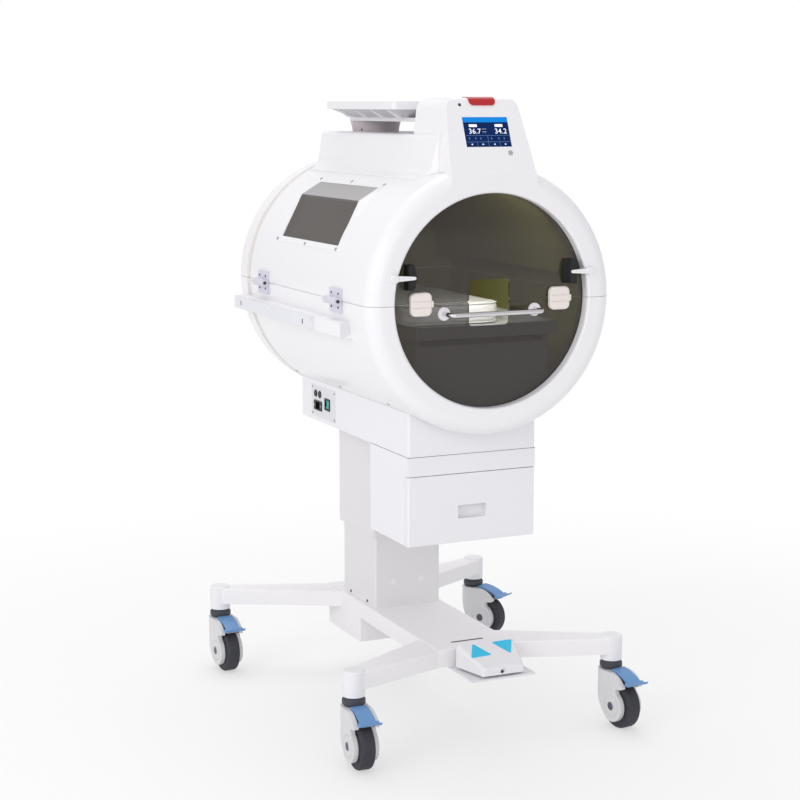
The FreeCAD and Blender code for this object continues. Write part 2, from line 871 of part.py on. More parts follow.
def tray_levels():
    floor_low = lower_lamp_top_z + runner_height + running_gap
    return floor_low, floor_low + tray_floor


def bed():
    """Tray with a rim, held by the lower window at its front, and the mattress on it."""
    floor_low, floor_top = tray_levels()
    front = window_y + window_thick
    outer = box(-tray_half_w, tray_half_w, front, tray_back_y, floor_low, floor_top + tray_rim_h)
    corners = long_edges(outer, UP, lambda middle: middle.y > front + 1)
    outer = outer.makeFillet(16.0, corners)
    inner = box(-tray_half_w + tray_rim_wall, tray_half_w - tray_rim_wall,
                front + tray_rim_wall, tray_back_y - tray_rim_wall,
                floor_top, floor_top + tray_rim_h + 1)
    corners = long_edges(inner, UP, lambda middle: middle.y > front + tray_rim_wall + 1)
    inner = inner.makeFillet(13.0, corners)
    nodes["bed_tray"] = outer.cut(inner)
    low = floor_top + running_gap
    pad = rounded_box(-mattress_half_w, mattress_half_w, mattress_front_y, mattress_back_y,
                      low, low + mattress_thick, 30.0, UP)
    rims = [edge for edge in pad.Edges if abs(edge.CenterOfMass.z - low - mattress_thick / 2) > 5]
    nodes["mattress"] = pad.makeFillet(mattress_round, rims)


def bed_runners():
    rails = []
    for side in SIDES:
        x0, x1 = sorted((side * runner_x, side * (runner_x + runner_w)))
        rails.append(box(x0, x1, ring_lip_len + 12, tray_back_y, lower_lamp_top_z,
                         lower_lamp_top_z + runner_height))
    nodes["bed_runners"] = Part.makeCompound(rails)


def lower_lamps():
    """Lamp box that stands in the lower shell, and its tubes."""
    half = lower_lamp_half_w
    wall = lower_lamp_wall
    low_z = barrel_axis_z - barrel_r
    front = ring_lip_len + 10
    back = tray_back_y
    outer = box(-half, half, front, back, low_z, lower_lamp_top_z)
    inner = box(-half + wall, half - wall, front + wall, back - wall, low_z - 1, lower_lamp_top_z - wall)
    hull = rod(barrel_r - barrel_wall - seat_gap, V(0, 0, barrel_axis_z), V(0, barrel_len, barrel_axis_z))
    case = outer.cut(inner).common(hull)
    neck = rod(barrel_r, V(0, groove_y - barrel_wall - 1, barrel_axis_z), V(0, barrel_len, barrel_axis_z))
    throat = rod(barrel_r - groove_depth - barrel_wall - seat_gap,
                 V(0, groove_y - barrel_wall - 1, barrel_axis_z), V(0, barrel_len, barrel_axis_z))
    case = case.cut(neck.cut(throat))
    tubes = []
    for number in range(lower_lamp_count):
        x = (number - (lower_lamp_count - 1) / 2) * lower_lamp_pitch
        tubes.append(rod(lamp_r, V(x, front + wall, lower_lamp_z), V(x, back - wall, lower_lamp_z)))
    nodes["lower_lamp_box"] = Part.makeCompound([case] + tubes)


def arc_band(inner_r, outer_r, y0, y1, from_deg, to_deg):
    """Curved band about the barrel's axis, between two angles from +X."""
    start = V(inner_r, y0, barrel_axis_z)
    face = face_of([start, V(outer_r, y0, barrel_axis_z), V(outer_r, y1, barrel_axis_z),
                    V(inner_r, y1, barrel_axis_z)])
    band = face.revolve(V(0, 0, barrel_axis_z), BACK, -(to_deg - from_deg))
    band.rotate(V(0, 0, barrel_axis_z), BACK, -from_deg)
    return band


def upper_lamps():
    """Curved reflector on ribs under the hood, the tubes in it and the canopy below."""
    mid = 90.0
    reflector = arc_band(reflector_r - reflector_wall, reflector_r, lamp_front_y, lamp_back_y,
                         mid - reflector_half_deg, mid + reflector_half_deg)
    top_r = barrel_r - barrel_wall - seat_gap
    first_y = lamp_front_y + rib_from_end
    last_y = lamp_back_y - rib_from_end - rib_thick
    ribs = [arc_band(canopy_r + seat_gap, top_r, y, y + rib_thick,
                     mid - reflector_half_deg, mid + reflector_half_deg)
            for y in (first_y, (first_y + last_y) / 2, last_y)]
    frame = fuse(reflector, *ribs)
    tubes = []
    for angle in lamp_angles:
        turn = math.radians(mid + angle)
        x = lamp_ring_r * math.cos(turn)
        z = barrel_axis_z + lamp_ring_r * math.sin(turn)
        tubes.append(rod(lamp_r, V(x, lamp_front_y, z), V(x, lamp_back_y, z)))
        frame = frame.cut(rod(lamp_r + seat_gap, V(x, lamp_front_y - 1, z), V(x, lamp_back_y + 1, z)))
    nodes["upper_reflector"] = frame
    nodes["upper_lamps"] = Part.makeCompound(tubes)
    nodes["inner_canopy"] = arc_band(canopy_r - canopy_wall, canopy_r, canopy_front_y, canopy_back_y,
                                     canopy_low_deg, 180 - canopy_low_deg)


def bed_handle():
    """Bar bent to a wide U across the front of the bed, and the washers under its ends."""
    bar_y = window_y - handle_out
    seat_y = window_y - washer_thick
    half = handle_half
    bend = handle_bend
    left = V(-half + bend, bar_y + bend, handle_z)
    right = V(half - bend, bar_y + bend, handle_z)
    foot = V(-half, seat_y, handle_z)
    path = [foot, V(-half, left.y, handle_z),
            (corner_mid(left, bend, 225, (RIGHT, BACK)), V(left.x, bar_y, handle_z)),
            V(right.x, bar_y, handle_z),
            (corner_mid(right, bend, 315, (RIGHT, BACK)), V(half, right.y, handle_z)),
            V(half, seat_y, handle_z)]
    section = Part.Wire(Part.makeCircle(handle_r, foot, BACK))
    nodes["bed_handle"] = Part.Wire(edge_path(path)).makePipeShell([section], True, True)
    washers = [rod(washer_r, V(x, seat_y, handle_z), V(x, window_y, handle_z)) for x in (-half, half)]
    nodes["handle_mounts"] = Part.makeCompound(washers)


def latches():
    """Two turn latches whose knobs overlap the seam between the half discs."""
    pivot_z = barrel_axis_z - latch_drop
    for side, name in zip(SIDES, ("latch_left", "latch_right")):
        x = side * latch_x
        back = window_y - latch_base_thick
        front = back - latch_thick
        low = barrel_axis_z - latch_h / 2
        knob = rounded_box(x - latch_w / 2, x + latch_w / 2, front, back, low, low + latch_h,
                           latch_round, BACK)
        rim = [edge for edge in knob.Edges if abs(edge.CenterOfMass.y - front) < 0.01]
        knob = knob.makeFillet(4.0, rim)
        for z in (barrel_axis_z - latch_band_half, barrel_axis_z + latch_band_half):
            knob = knob.cut(box(x - latch_w, x + latch_w, front - 1, front + latch_groove,
                                z - latch_groove / 2, z + latch_groove / 2))
        tab = rounded_box(x + latch_w / 2 - 2, x + latch_w / 2 + latch_tab, front + 2, back - 1,
                          barrel_axis_z - latch_band_half, barrel_axis_z + latch_band_half, 2.0, BACK)
        base = rod(latch_base_r, V(x, back, pivot_z), V(x, window_y - running_gap, pivot_z))
        stud = rod(stud_r, V(x, back, pivot_z), V(x, window_y + window_thick - 1, pivot_z))
        nodes[name] = fuse(knob, tab, base, stud)


def levers():
    """Turn levers on the ring that hold the upper window."""
    for side, name in zip(SIDES, ("lever_left", "lever_right")):
        x = side * lever_x
        back = -running_gap
        front = back - lever_thick
        head = rod(lever_head_r, V(x, front, lever_z), V(x, back, lever_z))
        rim = [edge for edge in head.Edges if edge.Closed and abs(edge.CenterOfMass.y - front) < 0.1]
        head = head.makeFillet(2.5, rim)
        tip_x = x - side * lever_len
        spread = 6.0
        blade = extrude_y([(x, lever_z - spread), (tip_x, lever_z - lever_tip_r),
                           (tip_x, lever_z + lever_tip_r), (x, lever_z + spread)],
                          front + 1.5, back - 1.9)
        tip = rod(lever_tip_r, V(tip_x, front + 1.5, lever_z), V(tip_x, back - 1.9, lever_z))
        stud = rod(stud_r, V(x, back - 1, lever_z), V(x, barrel_wall - 1, lever_z))
        nodes[name] = fuse(head, blade, tip, stud)


def window_stops():
    """Black rubber stops on the upper window, under the levers' tips, bulged on their inner side."""
    def section(side, y, width):
        outer_x = side * stop_x_out
        inner_x = side * (stop_x_out - width)
        bulge_x = side * (stop_x_out - width - stop_bulge)
        low = lever_z - stop_half_h
        high = lever_z + stop_half_h
        path = [V(outer_x, y, low), V(inner_x, y, low), (V(bulge_x, y, lever_z), V(inner_x, y, high)),
                V(outer_x, y, high), V(outer_x, y, low)]
        return Part.Wire(edge_path(path))
    stops = [Part.makeLoft([section(side, window_y, stop_base_w), section(side, -stop_proud, stop_front_w)],
                           True, True) for side in SIDES]
    nodes["window_stops"] = Part.makeCompound(stops)


def side_rail():
    """Flat accessory rail bolted to the pad on the lower shell."""
    inner_x = -(barrel_r + pad_out)
    low = rail_mid_z - rail_height / 2
    bar = box(inner_x - rail_thick, inner_x, rail_front_y, rail_back_y, low, low + rail_height)
    outer = long_edges(bar, BACK, lambda middle: middle.x < inner_x - rail_thick + 1)
    bar = bar.makeChamfer(1.0, outer)
    slot_len = 11.0
    slot_w = 4.5
    for y in (rail_front_y + 43, rail_back_y - 43):
        slot = rounded_box(inner_x - rail_thick - 1, inner_x - rail_thick + 3, y - slot_w / 2,
                           y + slot_w / 2, rail_mid_z - slot_len / 2, rail_mid_z + slot_len / 2,
                           slot_w / 2 - 0.1, RIGHT)
        bar = bar.cut(slot)
    nodes["side_rail"] = bar


def barrel_housing():
    """Box under the barrel, scooped out to seat it, hollow and open to the lifting column."""
    wall = housing_wall
    top = barrel_axis_z - math.sqrt(barrel_r ** 2 - body_half_w ** 2) + 12
    outer = box(-body_half_w, body_half_w, housing_front_y, housing_back_y, housing_low_z, top)
    upright = long_edges(outer, UP, lambda middle: True)
    outer = outer.makeFillet(5.0, upright)
    seat = barrel_solid(seat_gap)
    inner = box(-body_half_w + wall, body_half_w - wall, housing_front_y + wall, housing_back_y - wall,
                housing_low_z + wall, top + 1)
    hole = box(-column_half_x - column_gap, column_half_x + column_gap,
               column_front_y - column_gap, column_back_y + column_gap,
               housing_low_z - 1, housing_low_z + wall + 1)
    shell = outer.cut(seat).cut(inner).cut(hole)
    recess = box(-body_half_w - 1, -body_half_w + panel_thick, panel_front_y - seat_gap,
                 panel_back_y + seat_gap, panel_low_z - seat_gap, panel_high_z + seat_gap)
    shell = shell.cut(recess)
    shell = shell.cut(socket_blank(-body_half_w - 1, -body_half_w + wall + 1, seat_gap))
    nodes["barrel_housing"] = shell


def socket_blank(x0, x1, grow):
    """What the inlet, switch and fuse holders need cut out of a wall."""
    inlet = box(x0, x1, inlet_y - inlet_w / 2 + 8 - grow, inlet_y + inlet_w / 2 - 8 + grow,
                inlet_z - inlet_h / 2 + 1 - grow, inlet_z + inlet_h / 2 - 1 + grow)
    switch = box(x0, x1, switch_y - switch_w / 2 + 2 - grow, switch_y + switch_w / 2 - 2 + grow,
                 switch_z - switch_h / 2 + 2 - grow, switch_z + switch_h / 2 - 2 + grow)
    fuses = [rod(fuse_r + grow, V(x0, y, fuse_z), V(x1, y, fuse_z)) for y in fuse_ys]
    return fuse(inlet, switch, *fuses)


def socket_panel():
    face_x = -body_half_w
    plate = rounded_box(face_x, face_x + panel_thick, panel_front_y, panel_back_y,
                        panel_low_z, panel_high_z, 3.0, RIGHT)
    nodes["socket_panel"] = plate.cut(socket_blank(face_x - 1, face_x + panel_thick + 1, seat_gap))


def panel_fittings():
    """Mains inlet, switch frame and two fuse holders in the socket panel."""
    face_x = -body_half_w
    front_x = face_x - inlet_flange
    flange = rounded_box(front_x, face_x, inlet_y - inlet_w / 2, inlet_y + inlet_w / 2,
                         inlet_z - inlet_h / 2, inlet_z + inlet_h / 2, 4.0, RIGHT)
    can = box(face_x, face_x + inlet_depth + 2, inlet_y - inlet_w / 2 + 8, inlet_y + inlet_w / 2 - 8,
              inlet_z - inlet_h / 2 + 1, inlet_z + inlet_h / 2 - 1)
    well = box(front_x - 1, face_x + inlet_depth, inlet_y - inlet_shroud_w / 2,
               inlet_y + inlet_shroud_w / 2, inlet_z - inlet_shroud_h / 2, inlet_z + inlet_shroud_h / 2)
    blades = [box(face_x + 3, face_x + inlet_depth + 1, inlet_y + offset - 1, inlet_y + offset + 1,
                  inlet_z + lift - 2, inlet_z + lift + 2) for offset, lift in ((-7, -1.5), (0, 2), (7, -1.5))]
    inlet = fuse(fuse(flange, can).cut(well), *blades)
    half_w = switch_w / 2
    half_h = switch_h / 2
    collar = rounded_box(front_x, face_x, switch_y - half_w, switch_y + half_w,
                         switch_z - half_h, switch_z + half_h, 2.5, RIGHT)
    sleeve = box(face_x, face_x + 16, switch_y - half_w + 2, switch_y + half_w - 2,
                 switch_z - half_h + 2, switch_z + half_h - 2)
    well = box(front_x - 1, face_x + 14, switch_y - rocker_w / 2 - 0.5, switch_y + rocker_w / 2 + 0.5,
               switch_z - rocker_h / 2 - 0.5, switch_z + rocker_h / 2 + 0.5)
    pin = rod(2.0, V(face_x + 5, switch_y - rocker_w / 2 - 1, switch_z),
              V(face_x + 5, switch_y + rocker_w / 2 + 1, switch_z))
    frame = fuse(fuse(collar, sleeve).cut(well), pin)
    holders = []
    for y in fuse_ys:
        cap = rod(fuse_r + 1.5, V(front_x, y, fuse_z), V(face_x, y, fuse_z))
        neck = rod(fuse_r, V(face_x, y, fuse_z), V(face_x + 20, y, fuse_z))
        slot = box(front_x - 1, front_x + 1, y - 0.7, y + 0.7, fuse_z - 4, fuse_z + 4)
        holders.append(fuse(cap, neck).cut(slot))
    nodes["panel_fittings"] = Part.makeCompound([inlet, frame] + holders)


def power_switch():
    """Rocker on its pin in the switch frame, drawn level in its middle place."""
    face_x = -body_half_w
    pin_x = face_x + 5
    half = rocker_h / 2 - 1
    path = [V(pin_x + 4, 0, -half + 3), V(face_x - 1, 0, -half),
            (V(face_x + 1, 0, 0), V(face_x - 1, 0, half)), V(pin_x + 4, 0, half - 3)]
    rocker = face_of(path).extrude(V(0, rocker_w - 1, 0))
    rocker.translate(V(0, switch_y - rocker_w / 2 + 0.5, switch_z))
    bore = rod(2.0 + pin_gap, V(pin_x, switch_y - rocker_w, switch_z), V(pin_x, switch_y + rocker_w, switch_z))
    nodes["power_switch"] = rocker.cut(bore)


def cabinet_shell():
    """Fixed case of the storage drawer, hung under the housing."""
    wall = cabinet_wall
    top = housing_low_z - cabinet_seam
    head_low = drawer_top_z + drawer_seam
    front_y = housing_front_y + drawer_face_thick + 1
    case = box(-body_half_w, body_half_w, front_y, cabinet_back_y, cabinet_low_z, top)
    head = box(-body_half_w, body_half_w, housing_front_y, cabinet_back_y, head_low, top)
    outer = fuse(case, head)
    inner = box(-body_half_w + wall, body_half_w - wall, housing_front_y + wall, cabinet_back_y - wall,
                cabinet_low_z + wall, head_low)
    hollow = box(-body_half_w + wall, body_half_w - wall, housing_front_y + wall, cabinet_back_y - wall,
                 head_low + wall, top - wall)
    shell = outer.cut(inner).cut(hollow)
    ledges = []
    for side in SIDES:
        x0, x1 = sorted((side * (body_half_w - wall), side * (drawer_box_half_w + 1)))
        ledges.append(box(x0, x1, front_y + 4, cabinet_back_y - wall,
                          drawer_slide_z - drawer_slide_h, drawer_slide_z))
    nodes["cabinet_shell"] = fuse(shell, *ledges)


def drawer():
    """Drawer front with its finger cup, and the box behind it on side slides."""
    front_y = housing_front_y
    back_y = front_y + drawer_face_thick
    face = box(-body_half_w, body_half_w, front_y, back_y, cabinet_low_z, drawer_top_z)
    edges = long_edges(face, UP, lambda middle: middle.y < front_y + 1)
    face = face.makeFillet(4.0, edges)
    hole = rounded_box(-cup_half_w, cup_half_w, front_y - 1, back_y + 1, cup_low_z, cup_high_z, 5.0, BACK)
    face = face.cut(hole)
    wall = drawer_box_wall
    half = drawer_box_half_w
    low = cabinet_low_z + cabinet_wall + 3
    outer = box(-half, half, back_y, drawer_box_back_y, low, drawer_box_top_z)
    inner = box(-half + wall, half - wall, back_y + wall, drawer_box_back_y - wall,
                low + wall, drawer_box_top_z + 1)
    tray = outer.cut(inner)
    slides = []
    for side in SIDES:
        x0, x1 = sorted((side * half, side * (body_half_w - cabinet_wall - 0.5)))
        slides.append(box(x0, x1, back_y + 6, drawer_box_back_y,
                          drawer_slide_z + running_gap, drawer_slide_z + running_gap + drawer_slide_h))
    nodes["drawer_box"] = fuse(tray, *slides)
    cup_outer = rounded_box(-cup_half_w, cup_half_w, front_y, front_y + cup_depth + 2,
                            cup_low_z, cup_high_z, 5.0, BACK)
    cup_inner = rounded_box(-cup_half_w + 2, cup_half_w - 2, front_y - 1, front_y + cup_depth,
                            cup_low_z + 2, cup_high_z - 2, 4.0, BACK)
    hood = extrude_x([(front_y - 1, cup_high_z - 14), (front_y + cup_depth * 0.6, cup_high_z - 14),
                      (front_y + cup_depth * 0.6, cup_high_z + 1), (front_y - 1, cup_high_z + 1)],
                     -cup_half_w, cup_half_w)
    lip = cup_outer.common(hood).cut(box(-cup_half_w, cup_half_w, front_y + 2.5, front_y + cup_depth,
                                         cup_low_z, cup_high_z - 2))
    cup = fuse(cup_outer.cut(cup_inner), lip)
    nodes["drawer_front"] = Part.makeCompound([face, cup])
    slot = rounded_box(-cup_half_w - seat_gap, cup_half_w + seat_gap, back_y - 1, back_y + cup_depth + 4,
                       cup_low_z - seat_gap, cup_high_z + seat_gap, 5.0, BACK)
    nodes["drawer_box"] = nodes["drawer_box"].cut(slot)


def lifting_column():
    """Inner column on the base and the sleeve over it, with a glide ring on each."""
    x = column_half_x
    y0 = column_front_y
    y1 = column_back_y
    wall = column_wall
    column = rounded_box(-x, x, y0, y1, beam_top_z, column_top_z, 6.0, UP)
    core = box(-x + wall, x - wall, y0 + wall, y1 - wall, beam_top_z - 1, column_top_z + 1)
    column = column.cut(core)
    reach = column_gap - glide_gap
    ring = box(-x - reach, x + reach, y0 - reach, y1 + reach, column_top_z - glide_height, column_top_z)
    blank = rounded_box(-x, x, y0, y1, beam_top_z, column_top_z + 1, 6.0, UP)
    nodes["inner_column"] = Part.makeCompound([column, ring.cut(blank)])
    outer_x = x + column_gap + sleeve_wall
    outer = rounded_box(-outer_x, outer_x, y0 - column_gap - sleeve_wall, y1 + column_gap + sleeve_wall,
                        sleeve_low_z, housing_low_z, 6.0, UP)
    bore = box(-x - column_gap, x + column_gap, y0 - column_gap, y1 + column_gap,
               sleeve_low_z - 1, housing_low_z + 1)
    sleeve = outer.cut(bore)
    throat = rounded_box(-x - glide_gap, x + glide_gap, y0 - glide_gap, y1 + glide_gap,
                         sleeve_low_z - 1, sleeve_low_z + glide_height + 1, 6.0, UP)
    ring = box(-x - column_gap, x + column_gap, y0 - column_gap, y1 + column_gap,
               sleeve_low_z, sleeve_low_z + glide_height)
    nodes["column_sleeve"] = Part.makeCompound([sleeve, ring.cut(throat)])


def lift_actuator():
    """Actuator tube on the base; its rod pushes a crosshead in the housing."""
    y = (column_front_y + column_back_y) / 2
    tube = rod(actuator_r, V(0, y, beam_top_z), V(0, y, actuator_top_z))
    bore = rod(actuator_bore_r, V(0, y, beam_top_z + 5), V(0, y, actuator_top_z + 1))
    nodes["actuator_tube"] = tube.cut(bore)
    ram = rod(actuator_bore_r - pin_gap, V(0, y, lift_rod_low_z), V(0, y, crosshead_z))
    reach = column_half_x + column_gap + crosshead_over
    y0 = y - crosshead_half
    y1 = y + crosshead_half
    beam = box(-reach, reach, y0, y1, crosshead_z, crosshead_z + crosshead_thick)
    feet = []
    for side in SIDES:
        x0, x1 = sorted((side * reach, side * (reach - crosshead_thick)))
        feet.append(box(x0, x1, y0, y1, housing_low_z + housing_wall, crosshead_z))
    nodes["lift_rod"] = fuse(ram, beam, *feet)


def base_beam():
    """Closed steel beam that carries the column, with a shallow slot behind the pedal."""
    wall = beam_wall
    outer = box(-beam_half_x, beam_half_x, beam_front_y, beam_back_y, beam_low_z, beam_top_z)
    top_edges = [edge for edge in outer.Edges if abs(edge.CenterOfMass.z - beam_top_z) < 0.01]
    outer = outer.makeFillet(2.5, top_edges)
    inner = box(-beam_half_x + wall, beam_half_x - wall, beam_front_y + wall, beam_back_y - wall,
                beam_low_z + wall, beam_top_z - wall)
    slot = rounded_box(-beam_slot_half, beam_slot_half, beam_slot_y - beam_slot_w / 2,
                       beam_slot_y + beam_slot_w / 2, beam_top_z - beam_slot_depth, beam_top_z + 1,
                       beam_slot_w / 2 - 0.1, UP)
    nodes["base_beam"] = outer.cut(inner).cut(slot)


def power_box():
    wall = beam_wall
    outer = rounded_box(-beam_half_x, beam_half_x, power_box_front_y, power_box_back_y,
                        power_box_low_z, beam_low_z, 3.0, UP)
    inner = box(-beam_half_x + wall, beam_half_x - wall, power_box_front_y + wall,
                power_box_back_y - wall, power_box_low_z + wall, beam_low_z - wall)
    nodes["power_box"] = outer.cut(inner)


def leg(end_x, end_y, root):
    """Flat hollow leg that narrows from the beam to its caster."""
    angle = math.atan2(end_y - (root[0] + root[1]) / 2, end_x - beam_half_x)
    out = V(math.cos(angle), math.sin(angle), 0)
    across = V(-out.y, out.x, 0)
    tip_a = V(end_x, end_y, 0) + across * (end_cap_r - 1)
    tip_b = V(end_x, end_y, 0) - across * (end_cap_r - 1)
    plan = [(beam_half_x, root[0]), (tip_b.x, tip_b.y), (tip_a.x, tip_a.y), (beam_half_x, root[1])]
    outer = extrude_z(plan, beam_low_z, leg_top_z)
    top_edges = [edge for edge in outer.Edges if abs(edge.CenterOfMass.z - leg_top_z) < 0.01]
    outer = outer.makeFillet(2.5, top_edges)
    low_edge = face_of([V(x, y, beam_low_z + leg_wall) for x, y in plan])
    inner = low_edge.makeOffset2D(-leg_wall).extrude(V(0, 0, leg_top_z - beam_low_z - 2 * leg_wall))
    inner = inner.cut(rod(end_cap_r + leg_wall, V(end_x, end_y, 0), V(end_x, end_y, 2 * leg_top_z)))
    return outer.cut(inner).cut(rod(end_cap_r, V(end_x, end_y, 0), V(end_x, end_y, 2 * leg_top_z)))


def legs():
    front = leg(front_caster_x, front_caster_y, front_leg_root)
    rear = leg(rear_caster_x, rear_caster_y, rear_leg_root)
    nodes["legs"] = Part.makeCompound([mirrored(front), front, mirrored(rear), rear])


def turned(points, origin):
    """Solid turned about a vertical axis from (radius, z) points."""
    face = face_of([V(origin.x + r, origin.y, z) for r, z in points])
    return face.revolve(V(origin.x, origin.y, 0), UP, 360)


def leg_end_caps():
    caps = []
    for x, y, _ in casters.values():
        bore = stem_r + pin_gap
        low = collar_top_z + seat_gap
        points = [(bore, low), (end_cap_r, low), (end_cap_r, end_cap_top_z - 3),
                  (end_cap_r - 3, end_cap_top_z), (0, end_cap_top_z), (0, stem_top_z + 1),
                  (bore, stem_top_z + 1)]
        caps.append(turned(points, V(x, y, 0)))
    nodes["leg_end_caps"] = Part.makeCompound(caps)


def caster_collars():
    rings = []
    low = fork_top_z + running_gap
    for x, y, _ in casters.values():
        points = [(stem_r + pin_gap, low), (collar_r - 4, low), (collar_r, low + 5),
                  (collar_r, collar_top_z - 7), (collar_r - 5, collar_top_z), (stem_r + pin_gap, collar_top_z)]
        rings.append(turned(points, V(x, y, 0)))
    nodes["caster_collars"] = Part.makeCompound(rings)


def fork_profile():
    """Cheek of the fork seen from the side, as a path of (y, z) points at X = 0."""
    disc_y = -caster_trail
    disc_z = wheel_r
    def disc(degrees):
        turn = math.radians(degrees)
        return V(0, disc_y + fork_disc_r * math.cos(turn), disc_z + fork_disc_r * math.sin(turn))
    return [
        V(0, fork_crown_r, fork_top_z),
        V(0, fork_crown_r, 92),
        (V(0, 14, 66), disc(-40)),
        (disc(-150), disc(120)),
        V(0, -52, 90),
        V(0, -70, 93),
        (V(0, -73.5, 97), V(0, -70, 102)),
        (V(0, -52, 116), V(0, -fork_crown_r, fork_top_z)),
    ]


def fork():
    """Caster fork with its stem, the wheel bolt and the brake pin, stem axis at X = Y = 0."""
    cheek = face_of(fork_profile()).extrude(V(2 * fork_half, 0, 0))
    cheek.translate(V(-fork_half, 0, 0))
    plan = fuse(rod(fork_half, V(0, 0, 0), V(0, 0, 2 * fork_top_z)),
                box(-fork_half, fork_half, -2 * caster_trail - fork_disc_r, 0, 0, 2 * fork_top_z))
    cheek = cheek.common(plan)
    wheel_slot = box(-fork_slot_half, fork_slot_half, -150, 16, -10, fork_crown_z)
    pedal_slot = box(-fork_slot_half, fork_slot_half, -150, -fork_crown_r + 1, -10, 2 * fork_top_z)
    body = cheek.cut(wheel_slot).cut(pedal_slot)
    axle_z = wheel_r
    groove_r = 22.0
    for side in SIDES:
        face_x = side * fork_half
        ring = rod(groove_r + 1.2, V(face_x - side * 0.8, -caster_trail, axle_z),
                   V(face_x + side, -caster_trail, axle_z))
        core = rod(groove_r, V(face_x - side * 2, -caster_trail, axle_z),
                   V(face_x + side * 2, -caster_trail, axle_z))
        body = body.cut(ring.cut(core))
    stem = rod(stem_r, V(0, 0, fork_top_z), V(0, 0, stem_top_z))
    body = fuse(body, stem)
    bolt = rod(axle_r, V(-fork_half, -caster_trail, axle_z), V(fork_half, -caster_trail, axle_z))
    caps = [rod(axle_cap_r, V(side * fork_half, -caster_trail, axle_z),
                V(side * (fork_half + axle_cap_thick), -caster_trail, axle_z)) for side in SIDES]
    bolt = fuse(bolt, *caps)
    pin = rod(brake_pin_r, V(-fork_half + 3, *brake_pin), V(fork_half - 3, *brake_pin))
    body = body.cut(bolt).cut(pin)
    return Part.makeCompound([body, bolt, pin])


def wheel():
    """Wheel with tyre, web and hub, turned about its own axle."""
    half = wheel_w / 2
    shoulder = 6.0
    rim_r = 34.0
    web = 5.0
    hub_r = 12.0
    bore = axle_r + pin_gap
    def p(x, r):
        return V(x, -caster_trail, wheel_r + r)
    slant = shoulder * math.sqrt(0.5)
    points = [
        p(-wheel_hub_half, bore), p(-wheel_hub_half, hub_r), p(-web, hub_r), p(-web, rim_r - 4),
        p(-half, rim_r), p(-half, wheel_r - shoulder),
        (p(-half + shoulder - slant, wheel_r - shoulder + slant), p(-half + shoulder, wheel_r)),
        p(half - shoulder, wheel_r),
        (p(half - shoulder + slant, wheel_r - shoulder + slant), p(half, wheel_r - shoulder)),
        p(half, rim_r), p(web, rim_r - 4), p(web, hub_r), p(wheel_hub_half, hub_r),
        p(wheel_hub_half, bore),
    ]
    return face_of(points).revolve(V(0, -caster_trail, wheel_r), RIGHT, 360)


def brake():
    """Brake pedal: a curved plate with a lip, on a pin between the fork's cheeks."""
    pin_y, pin_z = brake_pin
    t = brake_thick
    top = [V(0, -collar_r - 1.2, 126), (V(0, -55, 121), V(0, -79, 110)), (V(0, -88, 108), V(0, -100, 113))]
    under = [V(0, -98.5, 113 - t), (V(0, -87, 108 - t), V(0, -77, 110 - t)),
             (V(0, -54, 121 - t), V(0, -collar_r - 1.2, 126 - t))]
    plate = face_of(top + under).extrude(V(2 * brake_half, 0, 0))
    plate.translate(V(-brake_half, 0, 0))
    tip = face_of([V(0, -79, 110), (V(0, -88, 108), V(0, -100, 113)), V(0, -98.5, 113 - t),
                   (V(0, -87, 108 - t), V(0, -78.5, 110 - t))])
    tip = tip.extrude(V(2 * brake_lip_half, 0, 0))
    tip.translate(V(-brake_lip_half, 0, 0))
    hub = rod(brake_pin_r + 3, V(-brake_half, pin_y, pin_z), V(brake_half, pin_y, pin_z))
    rib = box(-brake_half, brake_half, pin_y - 3, pin_y + 3, pin_z, pin_z + 9)
    lever = fuse(plate, tip, hub, rib)
    lever = lever.cut(rod(brake_pin_r + pin_gap, V(-fork_half, pin_y, pin_z), V(fork_half, pin_y, pin_z)))
    shoe = extrude_x([(-76, 109), (-76, 98.5), (-64, 98.5), (-64, 101), (-72, 102), (-72, 110)], -13, 13)
    return Part.makeCompound([lever, shoe.cut(lever)])


def caster_set():
    for name, (x, y, degrees) in casters.items():
        for piece, solid in (("fork", fork()), ("wheel", wheel()), ("brake", brake())):
            placed = solid.copy()
            placed.rotate(V(0, 0, 0), UP, degrees)
            placed.translate(V(x, y, 0))
            nodes["caster_%s_%s" % (piece, name)] = placed


